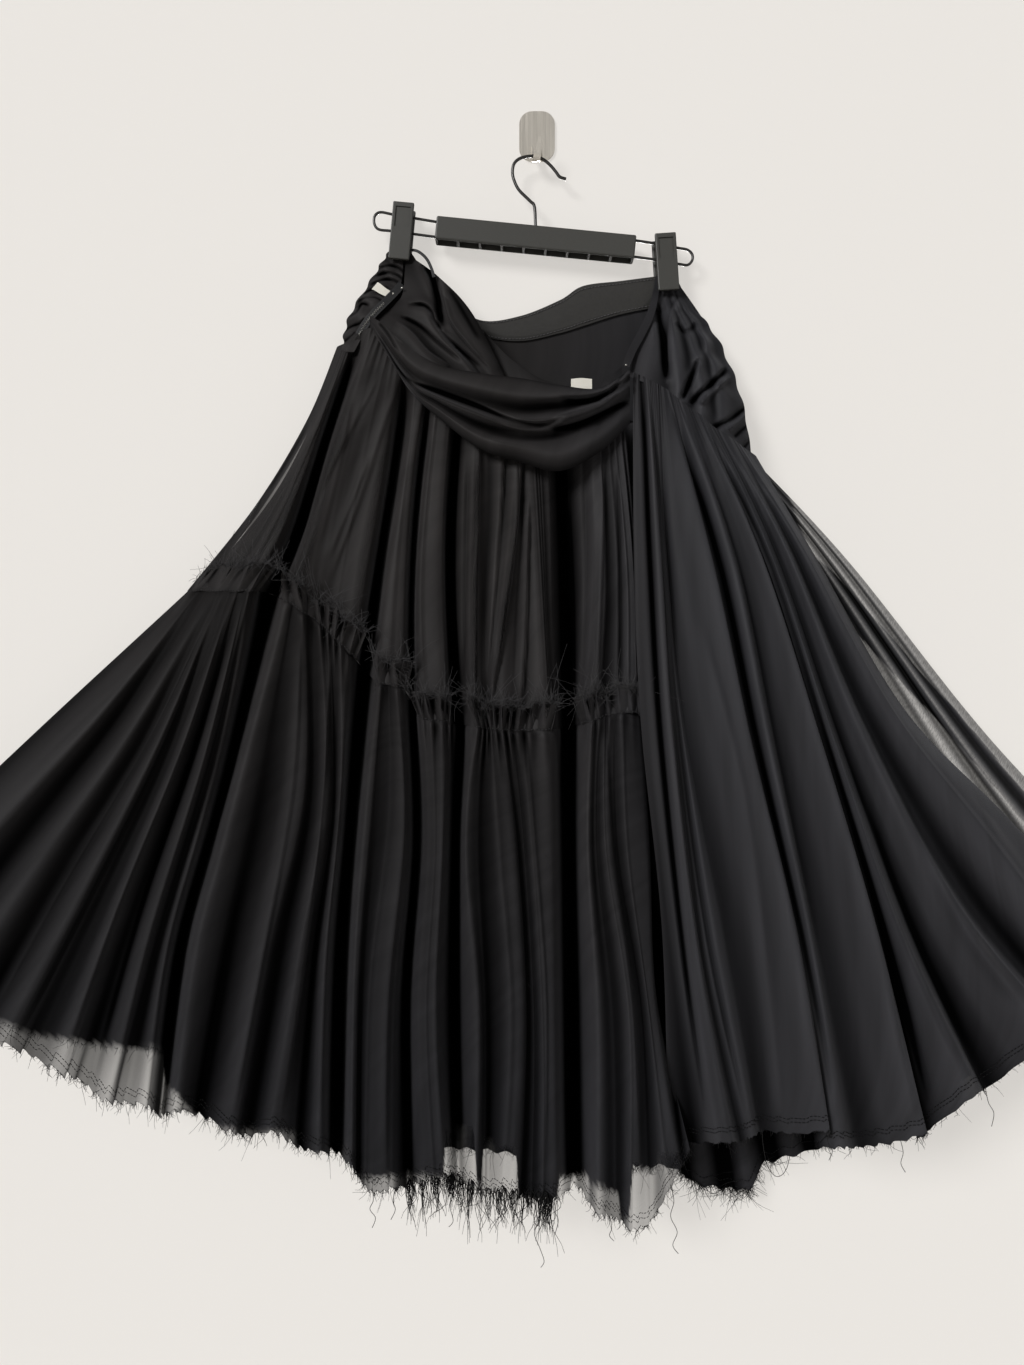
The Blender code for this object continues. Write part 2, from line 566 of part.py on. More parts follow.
def build_wall_hook():
    """The steel plate stuck to the wall, and the prong that carries the hanger."""
    outline = bpy.data.curves.new("wall_hook_plate", "CURVE")
    outline.dimensions = "2D"
    outline.fill_mode = "BOTH"
    outline.extrude = PLATE_THICKNESS / 2 * MM
    spline = outline.splines.new("POLY")
    corners = ((1, 1, 0), (-1, 1, 90), (-1, -1, 180), (1, -1, 270))
    points = []
    for right, up, start in corners:
        for step in range(7):
            angle = math.radians(start + 15 * step)
            x = right * (PLATE_WIDTH / 2 - PLATE_CORNER) + PLATE_CORNER * math.cos(angle)
            y = up * (PLATE_HEIGHT / 2 - PLATE_CORNER) + PLATE_CORNER * math.sin(angle)
            points.append((x * MM, y * MM, 0.0, 1.0))
    spline.points.add(len(points) - 1)
    for point, place in zip(spline.points, points):
        point.co = place
    spline.use_cyclic_u = True
    plate = finish(bpy.data.objects.new("wall_hook_plate", outline), STEEL)
    plate.rotation_euler = (math.radians(90), 0.0, 0.0)
    plate.location = (0.0, -PLATE_THICKNESS / 2 * MM, 0.0)
    strip("wall_hook_prong", PRONG_LINE, PRONG_WIDTHS, 16, STEEL, PRONG_THICKNESS)


def build_hanger():
    """The bar with its ribbed channel, its hook, and the wire loops that carry the clips."""
    front = on_sheet(BAR_SIDE, BAR_DROP, HANGER_DEPTH + BAR_DEPTH / 2)
    centre = front + Vector((0.0, BAR_DEPTH / 2 * MM, 0.0))
    tilt = (0.0, BAR_TILT, 0.0)
    bar = block("hanger_bar", (BAR_LENGTH, BAR_DEPTH, BAR_HEIGHT), centre, tilt, PLASTIC, 1.6)
    pocket = (BAR_LENGTH - BAR_WALL) / BAR_POCKETS
    for index in range(BAR_POCKETS):
        right = (index - (BAR_POCKETS - 1) / 2) * pocket
        place = along(centre, -BAR_TILT, right, -BAR_HEIGHT / 2)
        size = (pocket - BAR_WALL, BAR_DEPTH - 2 * BAR_WALL, BAR_HEIGHT)
        cut(bar, block("pocket_%d" % index, size, place, tilt, cutter=True))
    wire("hanger_hook", HOOK_WIRE_LINE, HOOK_WIRE, 28, STEEL)
    wire("hanger_loop_left", LEFT_LOOP, LOOP_WIRE, 20, STEEL)
    wire("hanger_loop_right", RIGHT_LOOP, LOOP_WIRE, 20, STEEL)


def build_clip(clip):
    """A sprung clip: a front jaw with a recess, a back jaw and the spring between them."""
    tilt = (0.0, -clip.tilt, 0.0)
    front = on_sheet(clip.side, clip.drop, FRONT_JAW_FACE + JAW_THICKNESS / 2)
    jaw = block(clip.name + "_front", (CLIP_WIDTH, JAW_THICKNESS, CLIP_HEIGHT), front, tilt, PLASTIC, 1.0)
    recess = along(front, clip.tilt, 0.0, CLIP_HEIGHT * 0.24) + Vector((0.0, -JAW_THICKNESS / 2 * MM, 0.0))
    cut(jaw, block(clip.name + "_recess", (CLIP_WIDTH - 6, 2.4, 20), recess, tilt, cutter=True))
    back = Vector((front.x, -(BACK_JAW_FACE - JAW_THICKNESS / 2) * MM, front.z))
    back = along(back, clip.tilt, -0.5, 0.0)
    for index, rise in enumerate(WIRE_RISES):
        depth = (SADDLE_FACE + FRONT_JAW_FACE + 1.0) / 2
        place = along(Vector((front.x, -depth * MM, front.z)), clip.tilt, 0.0, clip.spring_up + rise)
        size = (CLIP_WIDTH - 4, FRONT_JAW_FACE + 1.0 - SADDLE_FACE, SADDLE_HEIGHT)
        saddle = block("%s_saddle_%d" % (clip.name, index), size, place, tilt, cutter=True)
        join = jaw.modifiers.new("Saddle", "BOOLEAN")
        join.operation = "UNION"
        join.object = saddle
    block(clip.name + "_back", (CLIP_WIDTH + 1, JAW_THICKNESS, CLIP_HEIGHT - 2), back, tilt, PLASTIC, 1.0)
    bpy.ops.mesh.primitive_cylinder_add(vertices=16, radius=SPRING_RADIUS * MM, depth=SPRING_LENGTH * MM)
    spring = bpy.context.object
    spring.name = clip.name + "_spring"
    middle = Vector((front.x, -(BACK_JAW_FACE + FRONT_JAW_FACE) / 2 * MM, front.z))
    spring.location = along(middle, clip.tilt, 0.0, clip.spring_up)
    spring.rotation_euler = (0.0, math.radians(90 + BAR_TILT), 0.0)
    spring.data.shade_smooth()
    spring.data.set_sharp_from_angle(angle=math.radians(40))
    finish(spring, STEEL)


def build_waist():
    """Yokes, band, facing, zip, strips and labels between the clips and the skirt's seams."""
    cloth("back_yoke", loft(BACK_YOKE), 18, 6)
    cloth("back_waist_band", loft(BACK_BAND), 21, 2, TULLE, 1.0)
    wrinkled = loft(LEFT_YOKE)

    def left_yoke(u, v):
        point = wrinkled(u, v)
        swell = math.sin(math.pi * u) * min(1.0, 4 * v, 4 * (1 - v))
        wave = math.sin(2 * math.pi * (LEFT_WRINKLES * v + 0.6 * u))
        return point + Vector((0.0, 0.0, WRINKLE_DEPTH * swell * wave))

    def side_label(u, v):
        point = wrinkled(0.12 + 0.4 * u, 0.40 + 0.1 * v)
        return point + Vector((0.0, 0.0, LABEL_STAND_OFF))

    cloth("left_yoke", left_yoke, 5, 21)
    cloth("side_label", side_label, 2, 1, LABEL, 1.0)
    cloth("front_yoke", loft(FRONT_YOKE), 18, 7)
    cloth("front_waist", loft(FRONT_WAIST), 12, 3)
    cloth("hip_yoke", loft(HIP_YOKE), 20, 10)
    strip("waist_strip", WAIST_STRIP, (7, 8, 8, 8, 7, 6, 6), 10, CHIFFON, CLOTH)
    strip("zip_tape", ZIP_LINE, (8, 8, 8, 8, 8, 8), 10, TAPE, 1.0)
    strip("hanging_loop", HANGING_LOOP, (3, 3, 3, 3, 3, 3), 12, TAPE, 1.0)
    cloth("waist_label", loft(WAIST_LABEL), 2, 1, LABEL, 1.0)


def swag_guides():
    """The swag's folds as guides that run from the zip to the right clip's strip."""
    return [list(zip(SWAG_SIDES, drops, depths)) for name, depths, drops in SWAG_FOLDS]


def back_surface(u, v):
    """The back skirt: even gathers that open towards the hem and lie flat at its two edges."""
    guides = [[(side, drop, 0.0) for side, drop in guide] for guide in BACK_GUIDES]
    point = loft(guides)(u, v)
    middle = between([(value, 0.0) for value in BACK_MIDDLE], v)[0]
    swing = between([(value, 0.0) for value in BACK_SWING], v)[0]
    edge = min(1.0, BACK_PLEATS / 2 * u, BACK_PLEATS / 2 * (1 - u))
    uneven = 0.72 + 0.28 * math.sin(11.0 * u + 2.0 * v) * math.sin(37.0 * u)
    wave = -math.cos(2 * math.pi * BACK_PLEATS * u)
    lean = 5.0 * math.sin(23.0 * u) * v * edge
    return Vector((point.x + lean, point.y, middle + edge * uneven * swing * wave))


def build_fringe(name, place, start, end, strands):
    """A comb of loose threads: a narrow strip behind the hem with a tapering strand under every other cell."""
    cells = 2 * strands - 1
    mesh = bpy.data.meshes.new(name)
    comb = bmesh.new()
    bmesh.ops.create_grid(comb, x_segments=cells, y_segments=1, size=0.5)
    for vert in comb.verts:
        point = place(start + (end - start) * (vert.co.x + 0.5), 1.0)
        vert.co = on_sheet(point.x, point.y - 1.0 - 7.0 * (vert.co.y + 0.5), point.z - FRINGE_BEHIND)
    bmesh.ops.recalc_face_normals(comb, faces=comb.faces)
    bmesh.ops.solidify(comb, geom=comb.faces[:], thickness=1.2 * MM)
    bmesh.ops.recalc_face_normals(comb, faces=comb.faces)
    comb.normal_update()
    under = [face for face in comb.faces if face.normal.z < -0.6]
    under.sort(key=lambda face: face.calc_center_median().x)
    for index, face in enumerate(under[::2]):
        length = 22.0 + 9.0 * math.sin(1.7 * index) + 6.0 * math.sin(5.3 * index + 1.0)
        sway = 3.5 * math.sin(2.3 * index)
        grown = bmesh.ops.extrude_discrete_faces(comb, faces=[face])["faces"][0]
        middle = grown.calc_center_median()
        for vert in grown.verts:
            thin = middle + (vert.co - middle) * 0.45
            vert.co = thin + Vector((sway, 0.0, -length)) * MM
    comb.to_mesh(mesh)
    comb.free()
    return finish(bpy.data.objects.new(name, mesh), CHIFFON)


def build_skirt():
    """The hanging panels: back, two tiers with the ruffle header, fringe, swag and overskirt."""
    cloth("back_skirt", back_surface, 2 * BACK_PLEATS, 6, TULLE)
    upper = fold_guides(UPPER_TIER, UPPER_FRONT, UPPER_GROWTH, BACK_DEPTH, TIER_LINE)
    across = 2 * (len(upper) - 1)
    upper_tier = loft(upper)
    cloth("upper_tier", upper_tier, across, 5)

    seam_line = [(side, drop + SEAM_GAP, depth) for side, drop, depth in (guide[-1] for guide in upper[1:])]
    lower = fold_guides(LOWER_TIER, LOWER_FRONT, LOWER_GROWTH, BACK_DEPTH, seam_line, (0.0, 0.0))
    lower[0][0] = (lower[0][0][0], lower[0][0][1] + SEAM_GAP, lower[0][0][2])
    lower[1][0] = (lower[1][0][0], lower[1][0][1] + SEAM_GAP, lower[1][0][2])
    lower_tier = loft(lower)
    cloth("lower_tier", lower_tier, 2 * (len(lower) - 1), 6)

    on_tier = faceted(upper_tier, across)
    first = 2.2 / (len(upper) - 1)

    def header(u, v):
        along_tier = first + (1 - first) * u
        edge = on_tier(along_tier, 1.0)
        above = on_tier(along_tier, 0.8)
        up = (above - edge) * (HEADER_HEIGHT / max(abs(above.y - edge.y), 1.0))
        point = edge + up * (1 - v) - Vector((0.0, 0.5, 0.0))
        wave = math.cos(2 * math.pi * HEADER_WAVES * u)
        return point + Vector((0.0, 0.0, HEADER_STAND_OFF + 2.6 * (1 - v) + (2.4 * (1 - v) + 0.4) * wave))

    cloth("ruffle_header", header, 2 * HEADER_WAVES, 2)
    for fringe in FRINGES:
        first_fold = fringe.first_fold / (len(lower) - 1)
        last_fold = fringe.last_fold / (len(lower) - 1)
        build_fringe(fringe.name, lower_tier, first_fold, last_fold, fringe.strands)
    cloth("swag", loft(swag_guides()), 16, 12)

    hip_line = [(guide[-1][0], guide[-1][1] - LAP_HEIGHT, guide[-1][2]) for guide in HIP_YOKE[:-1]]
    over = fold_guides(OVERSKIRT, OVERSKIRT_FRONT, OVERSKIRT_GROWTH, 28.0, hip_line)
    cloth("overskirt", loft(over), 2 * (len(over) - 1), 10)


build_wall_hook()
build_hanger()
for one_clip in CLIPS:
    build_clip(one_clip)
build_waist()
build_skirt()
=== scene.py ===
"""The looks of a tiered midi skirt of black chiffon, clipped to a hanger on a wall hook.

Laid out as a Blender add-on and run as a script. Places on the cloth are read on the wall as on a
drawing sheet: "side" is millimetres to the right and "drop" millimetres down from the sheet's top left
corner, as an eye straight in front of the wall sees them, and "depth" is millimetres off the wall. The
tables of folds are those of the part, so each shell lies on its own solid; creases, gathers and threads
are added to them here.
"""

import math
from collections import namedtuple
from functools import lru_cache

import bpy
import numpy as np
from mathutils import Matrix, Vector


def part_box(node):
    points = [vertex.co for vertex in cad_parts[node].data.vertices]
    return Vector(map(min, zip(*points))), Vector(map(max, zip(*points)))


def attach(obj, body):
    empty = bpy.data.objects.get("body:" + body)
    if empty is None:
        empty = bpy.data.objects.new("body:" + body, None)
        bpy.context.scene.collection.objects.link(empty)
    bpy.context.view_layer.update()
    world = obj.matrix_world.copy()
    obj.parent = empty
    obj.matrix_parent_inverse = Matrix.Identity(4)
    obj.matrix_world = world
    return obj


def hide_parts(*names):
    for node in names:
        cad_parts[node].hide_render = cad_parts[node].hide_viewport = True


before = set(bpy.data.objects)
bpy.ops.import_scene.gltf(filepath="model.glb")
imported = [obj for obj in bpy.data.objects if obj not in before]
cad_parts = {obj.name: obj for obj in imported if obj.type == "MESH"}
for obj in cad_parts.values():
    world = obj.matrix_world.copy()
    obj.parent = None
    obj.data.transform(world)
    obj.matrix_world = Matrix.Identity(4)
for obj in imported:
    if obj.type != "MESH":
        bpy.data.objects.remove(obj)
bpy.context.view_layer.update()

bl_info = {
    "name": "Tiered midi skirt",
    "version": (1, 0, 0),
    "blender": (4, 5, 0),
    "location": "View3D > Sidebar > Skirt",
    "description": "Dresses the packed skirt, hanger and wall hook with cloth, threads and a plain stage",
    "category": "Object",
}

MM = 0.001

# Where the sheet's eye stands, and where the hook plate's centre is on the sheet.
EYE_SIDE, EYE_DROP, EYE_DISTANCE = 512.0, 682.5, 1025.0
HOOK_SIDE, HOOK_DROP = 537.0, 137.0
SHEET_HEIGHT = 1365.0
SENSOR = 36.0

# Sizes shared with the solids, in millimetres.
LAP = 3.0
LAP_HEIGHT = 3.0
BACK_DEPTH = 16.0
OVERSKIRT_BACK = 28.0
BACK_PLEATS = 32
HEADER_STAND_OFF = 6.0
LABEL_STAND_OFF = 4.3
HANGER_DEPTH = 16.0
SPRING_RADIUS, SPRING_LENGTH, SPRING_WIRE, SPRING_TURNS = 5.0, 13.0, 1.3, 8
BAR_TILT = 5.57
HOOK_WIRE, LOOP_WIRE = 3.0, 2.6

# Sizes of the shells' own detail, in millimetres.
HEADER_WAVES, COLUMNS_IN_A_WAVE, HEADER_ROWS = 50, 12, 12
HEADER_HEIGHT = 27.0
HEADER_FLARE = 9.0
HEADER_WAVE_HEIGHT, FINE_WAVE_HEIGHT, HEADER_SWAY = 5.6, 0.9, 3.0
SEAM_CLEARANCE = 0.8
HEADING_CORNER = 0.35
HEM_STEP = 4.5
SWAG_TUCK_SIDE, SWAG_TUCK_WIDTH, TUCK_UNDER_SWAG = 366.0, 12.0, 10.0
YOKE_TUCK_SIDE, YOKE_TUCK_WIDTH, YOKE_TUCK_DROP, TUCK_UNDER_YOKE = 356.0, 8.0, 7.0, 9.0
LEFT_WRINKLES, WRINKLE_DEPTH = 7, 1.6
HIP_BUMPS, HIP_BUMP_DEPTH = 8, 1.8
ZIP_TEETH, TOOTH_LEAN, TOOTH_HALF, TOOTH_RADIUS = 32, 0.35, 0.95, 0.26
HEM_STITCHES, OVERSKIRT_STITCHES, BACK_STITCHES = (8.0, 12.5), (10.0, 13.5), 9.0

# Grids of the shells: columns for each fold, and rows.
UPPER_GRID, LOWER_GRID, OVERSKIRT_GRID = (14, 72), (15, 84), (16, 112)
SEAM_GRID = (40, 40)
BACK_COLUMNS_IN_A_PLEAT, BACK_ROWS = 14, 72

# Tints of the chiffon, from a cooler to a warmer black.
COOL_TINT, WARM_TINT = (0.95, 0.97, 1.08), (1.1, 1.02, 0.97)

# The chiffon's colour, sheen and gloss grow darker towards the left of the skirt, down to this share.
LEFT_SHADE = 0.66

# Sheen and gloss of the chiffon at a painted fold shade of one; the painted shading scales them.
FOLD_SHEEN, FOLD_GLOSS = 0.12, 0.2

# Share of the wall's light that it gives off evenly, which keeps shadows on it faint.
WALL_GLOW = 0.66

# Painted shade and highlight of the chiffon, from the depth of a fold (0) up to its crest (1).
PAINTED_FOLD_SHADES = ((0.08, 0.03), (0.32, 0.42), (0.50, 0.85), (0.85, 1.3), (1.0, 1.0))

Fold = namedtuple("Fold", "name out points")
Crease = namedtuple("Crease", "height left right points")
Pleats = namedtuple("Pleats", "first last count top foot")
Heading = namedtuple("Heading", "first last left right")
Fringe = namedtuple("Fringe", "name first last count seed")
Loose = namedtuple("Loose", "sheet side path")
Sun = namedtuple("Sun", "name toward spread strength")

CLIPS = ("clip_left", "clip_right")

# The room's soft lights: where each comes from, its spread in degrees and its strength.
SUNS = (
    Sun("window", (-0.85, -1.0, 0.6), 20.0, 2.6),
    Sun("fill", (0.9, -1.0, 0.2), 50.0, 0.4),
    Sun("behind", (0.0, 1.0, 0.04), 12.0, 1.9),
)
ROOM_LIGHT, ROOM_COLOUR = 0.15, (1.0, 0.99, 0.97, 1.0)
STAGE_WIDE, STAGE_HIGH, FLOOR_LEVEL, WALL_GAP = 14.0, 9.0, -1.45, 0.0008

# The line where the tiers hang from the yokes: side, drop and depth.
TIER_LINE = (
    (341, 346, 30),
    (347, 347, 42),
    (355, 346, 50),
    (374, 339, 56),
    (403, 352, 61),
    (440, 368, 65),
    (480, 384, 67),
    (520, 400, 68),
    (560, 410, 68),
    (600, 410, 67),
    (632, 398, 63),
)

# Upper tier folds, left to right. "out" is how far a fold stands from the back (0) to the panel's
# front (1), or the depths themselves; the points are side and drop at top, thigh, knee and seam.
UPPER_TIER = (
    Fold("side_end", (17.6, 18.5, 18.5, 18.5), ((341, 350), (313, 422), (262, 508), (197, 592))),
    Fold("side_edge", (30, 38, 42, 44), ((337, 347), (307, 420), (256, 505), (188, 591))),
    Fold("a_valley", 0.80, ((345, 0), (314, 426), (268, 514), (222, 591))),
    Fold("a_crest", 0.92, ((351, 0), (320, 430), (284, 522), (250, 591))),
    Fold("ab_valley", 0.62, ((361, 0), (329, 434), (300, 530), (268, 593))),
    Fold("b_left", 1.00, ((374, 0), (337, 430), (310, 530), (287, 602))),
    Fold("b_valley", 0.88, ((383, 0), (354, 440), (335, 535), (318, 622))),
    Fold("b_crest", 0.98, ((392, 0), (370, 450), (352, 545), (335, 639))),
    Fold("b_right", 0.96, ((402, 0), (390, 455), (375, 550), (353, 656))),
    Fold("bc_valley", 0.66, ((407, 0), (394, 458), (379, 556), (365, 670))),
    Fold("c_left", 0.98, ((414, 0), (400, 470), (388, 565), (378, 682))),
    Fold("c_right", 0.94, ((428, 0), (415, 475), (408, 575), (404, 689))),
    Fold("cd_valley", 0.70, ((432, 0), (418, 480), (411, 580), (412, 702))),
    Fold("d_left", 0.95, ((438, 0), (423, 490), (415, 590), (421, 718))),
    Fold("d_right", 0.98, ((453, 0), (443, 500), (442, 600), (446, 722))),
    Fold("de_valley", 0.78, ((459, 0), (450, 505), (449, 604), (456, 724))),
    Fold("e_left", 1.00, ((476, 0), (475, 510), (474, 610), (477, 727))),
    Fold("e_valley_1", 0.88, ((488, 0), (489, 512), (485, 611), (487, 729))),
    Fold("e_middle", 0.98, ((508, 0), (514, 520), (506, 613), (500, 730))),
    Fold("e_valley_2", 0.90, ((516, 0), (522, 524), (519, 615), (516, 731))),
    Fold("e_right", 1.00, ((528, 0), (536, 530), (541, 620), (547, 730))),
    Fold("ef_slope", 0.84, ((544, 0), (549, 534), (551, 622), (556, 729))),
    Fold("ef_valley", 0.62, ((568, 0), (571, 535), (572, 622), (570, 726))),
    Fold("f_left", 0.96, ((592, 0), (597, 510), (597, 605), (590, 722))),
    Fold("f_valley", 0.88, ((601, 0), (608, 505), (612, 600), (606, 716))),
    Fold("f_middle", 1.00, ((611, 0), (623, 498), (630, 592), (631, 712))),
    Fold("f_right", 0.90, ((622, 0), (631, 490), (638, 590), (642, 716))),
)
UPPER_FRONT, UPPER_GROWTH = (0, 76, 82, 86), (0, 0.75, 1.0, 1.0)

# Lower tier folds, the same way: side at the seam, then thigh, knee and hem.
LOWER_TIER = (
    Fold("side_end", (18.5, 19, 19.5, 19.5), ((197, 592), (81, 702), (-43, 821), (-160, 931))),
    Fold("side_edge", (44, 46, 46, 44), ((188, 591), (74, 697), (-51, 815), (-168, 927))),
    Fold("a_crest_1", 0.90, ((197, 0), (98, 712), (-22, 842), (-122, 973))),
    Fold("a_valley_1", 0.74, ((204, 0), (115, 720), (5, 860), (-92, 996))),
    Fold("a_crest_2", 0.95, ((211, 0), (132, 730), (33, 873), (-60, 1016))),
    Fold("a_valley_2", 0.76, ((217, 0), (146, 735), (57, 885), (-28, 1030))),
    Fold("a_crest_3", 0.97, ((223, 0), (159, 741), (80, 895), (0, 1043))),
    Fold("a_valley_3", 0.80, ((229, 0), (170, 746), (99, 903), (28, 1054))),
    Fold("a_crest_4", 0.96, ((234, 0), (181, 750), (115, 915), (56, 1071))),
    Fold("a_valley_4", 0.80, ((239, 0), (192, 753), (131, 925), (82, 1082))),
    Fold("a_crest_5", 0.95, ((244, 0), (203, 756), (146, 935), (104, 1101))),
    Fold("a_valley_5", 0.82, ((249, 0), (212, 758), (160, 940), (126, 1103))),
    Fold("a_crest_6", 0.92, ((255, 0), (222, 761), (172, 942), (146, 1106))),
    Fold("ab_valley", 0.60, ((268, 0), (231, 770), (182, 942), (160, 1116))),
    Fold("b_crest_1", 1.00, ((285, 0), (237, 775), (195, 940), (172, 1112))),
    Fold("b_valley_1", 0.80, ((293, 0), (264, 782), (228, 945), (197, 1114))),
    Fold("b_crest_2", 0.96, ((302, 0), (299, 790), (262, 952), (228, 1131))),
    Fold("b_valley_2", 0.82, ((312, 0), (312, 795), (281, 955), (249, 1136))),
    Fold("b_crest_3", 1.00, ((322, 0), (326, 800), (300, 957), (273, 1132))),
    Fold("b_valley_3", 0.84, ((333, 0), (334, 805), (314, 962), (300, 1148))),
    Fold("b_crest_4", 0.95, ((345, 0), (342, 810), (327, 966), (322, 1153))),
    Fold("bc_valley", 0.62, ((365, 0), (350, 815), (340, 970), (336, 1152))),
    Fold("c_crest_1", 0.96, ((377, 0), (362, 815), (352, 980), (350, 1166))),
    Fold("c_valley_1", 0.86, ((385, 0), (379, 815), (363, 985), (359, 1178))),
    Fold("c_crest_2", 1.00, ((393, 0), (396, 820), (375, 990), (371, 1192))),
    Fold("c_right", 0.96, ((403, 0), (410, 840), (394, 1000), (392, 1190))),
    Fold("cd_valley", 0.72, ((412, 0), (417, 842), (404, 1005), (407, 1186))),
    Fold("d_crest_1", 0.96, ((422, 0), (428, 845), (418, 1010), (425, 1184))),
    Fold("d_crest_2", 1.00, ((445, 0), (444, 850), (437, 1015), (446, 1180))),
    Fold("de_valley", 0.76, ((456, 0), (454, 850), (453, 1015), (460, 1183))),
    Fold("e_crest_1", 0.97, ((476, 0), (465, 842), (477, 1010), (475, 1190))),
    Fold("e_valley_1", 0.85, ((485, 0), (481, 845), (488, 1015), (487, 1193))),
    Fold("e_crest_2", 1.00, ((498, 0), (511, 850), (519, 1020), (510, 1196))),
    Fold("e_valley_2", 0.86, ((508, 0), (521, 852), (530, 1022), (526, 1198))),
    Fold("e_crest_3", 0.98, ((524, 0), (534, 852), (544, 1022), (545, 1200))),
    Fold("e_right", 0.94, ((548, 0), (555, 852), (558, 1020), (560, 1198))),
    Fold("ef_valley", 0.58, ((570, 0), (571, 850), (574, 1015), (576, 1185))),
    Fold("f_crest_1", 0.96, ((590, 0), (587, 850), (597, 1020), (597, 1214))),
    Fold("f_valley_1", 0.86, ((598, 0), (595, 850), (611, 1020), (614, 1218))),
    Fold("f_crest_2", 1.00, ((606, 0), (607, 850), (631, 1020), (632, 1230))),
    Fold("f_valley_2", 0.88, ((614, 0), (617, 850), (642, 1018), (650, 1222))),
    Fold("f_crest_3", 0.98, ((625, 0), (630, 850), (650, 1010), (672, 1185))),
    Fold("f_edge", 0.94, ((641, 0), (650, 850), (657, 1000), (690, 1150))),
)
LOWER_FRONT, LOWER_GROWTH = (0, 88, 91, 93), (0, 0.85, 1.0, 1.15)

# Back skirt guides: side and drop at top, thigh, knee and hem.
BACK_GUIDES = (
    ((342, 347), (263, 510), (62, 722), (-164, 928)),
    ((400, 360), (345, 560), (225, 850), (163, 1046)),
    ((470, 380), (440, 600), (385, 900), (347, 1132)),
    ((545, 397), (530, 620), (510, 900), (500, 1152)),
    ((615, 411), (615, 630), (625, 900), (650, 1166)),
    ((685, 430), (722, 620), (785, 900), (850, 1158)),
    ((722, 444), (802, 590), (930, 840), (1024, 1066)),
    ((753, 459), (852, 566), (1000, 754), (1170, 925)),
)
BACK_MIDDLE, BACK_SWING = (10.6, 16.0, 16.0, 16.0), (1.2, 6.0, 8.0, 9.5)

# Overskirt folds: side and drop at seam, thigh, knee, shin and hem.
OVERSKIRT = (
    Fold("left_edge", (66, 94, 100, 90, 73), ((633, 0), (634, 560), (641, 725), (662, 930), (668, 1143))),
    Fold("left_tuck", (67, 96, 101, 92, 77), ((638, 0), (639, 562), (648, 727), (668, 932), (694, 1143))),
    Fold("crest_1", 0.97, ((647, 0), (660, 560), (671, 730), (694, 940), (728, 1143))),
    Fold("valley_1", 0.86, ((651, 0), (662, 565), (674, 735), (701, 945), (742, 1141))),
    Fold("crest_2", 0.93, ((655, 0), (666, 565), (682, 735), (716, 945), (753, 1137))),
    Fold("valley_2", 0.84, ((659, 0), (670, 568), (690, 737), (733, 945), (765, 1131))),
    Fold("crest_3", 0.95, ((663, 0), (684, 568), (715, 737), (765, 938), (795, 1134))),
    Fold("crest_4", 1.00, ((668, 0), (713, 566), (750, 740), (797, 936), (830, 1132))),
    Fold("valley_4", 0.84, ((673, 0), (712, 572), (748, 746), (794, 942), (815, 1146))),
    Fold("crest_5", 0.97, ((678, 0), (732, 562), (769, 746), (812, 950), (842, 1148))),
    Fold("valley_5", 0.84, ((684, 0), (738, 561), (778, 746), (822, 946), (862, 1147))),
    Fold("crest_6", 0.93, ((690, 0), (750, 560), (797, 742), (848, 936), (893, 1143))),
    Fold("crest_7", 1.00, ((698, 0), (763, 560), (820, 740), (877, 935), (927, 1134))),
    Fold("valley_7", 0.84, ((704, 0), (764, 564), (822, 745), (880, 940), (919, 1137))),
    Fold("crest_8", 0.97, ((711, 0), (773, 560), (834, 741), (903, 935), (978, 1094))),
    Fold("valley_8", 0.84, ((717, 0), (777, 556), (840, 738), (914, 929), (990, 1086))),
    Fold("crest_9", 1.00, ((725, 0), (787, 550), (860, 730), (952, 908), (1058, 1036))),
    Fold("valley_9", 0.84, ((731, 0), (791, 548), (868, 722), (966, 894), (1072, 1024))),
    Fold("crest_10", 0.97, ((738, 0), (799, 545), (888, 712), (985, 848), (1098, 996))),
    Fold("valley_10", 0.84, ((744, 0), (806, 548), (896, 708), (998, 832), (1112, 980))),
    Fold("right_edge", (38, 56, 62, 64, 64), ((756, 456), (815, 556), (905, 710), (1012, 822), (1132, 957))),
    Fold(
        "side_end",
        (20, 25, 28, 28.5, 28.5),
        ((753.5, 458), (811, 560), (899, 716), (1004, 830), (1124, 964)),
    ),
)
OVERSKIRT_FRONT, OVERSKIRT_GROWTH = (0, 98, 108, 113, 115), (0, 0.7, 0.9, 1.0, 1.15)

# Right hip yoke folds: side, drop and depth from the clip to the overskirt's seam.
HIP_YOKE = (
    ((658, 272, 13.4), (653, 296, 16), (645, 330, 36), (634, 352, 50), (628, 376, 60)),
    ((660, 272, 14.0), (657, 297, 18), (656, 330, 43), (650, 357, 59), (645, 383, 68)),
    ((661, 272, 14.0), (662, 298, 16), (666, 330, 38), (667, 362, 55), (667, 395, 65)),
    ((663, 272, 14.4), (666, 298, 18), (674, 330, 44), (679, 362, 62), (680, 406, 72)),
    ((665, 272, 14.4), (670, 298, 16), (682, 331, 37), (690, 370, 55), (691, 414, 65)),
    ((667, 272, 14.4), (674, 298, 18), (690, 335, 42), (702, 378, 61), (703, 422, 71)),
    ((669, 272, 14.4), (677, 298, 15), (697, 335, 34), (711, 380, 52), (714, 433, 62)),
    ((671, 272, 14.0), (680, 298, 16), (704, 337, 37), (721, 385, 54), (726, 440, 62)),
    ((673, 272, 14.0), (683, 298, 15), (710, 338, 29), (732, 392, 42), (740, 450, 50)),
    ((675, 272, 13.6), (686, 298, 14.2), (717, 338, 24), (741, 397, 31), (752, 460, 35)),
    ((674, 272, 12.9), (683, 298, 13.2), (713, 338, 16.5), (738, 398, 17.2), (749, 461, 17.6)),
)

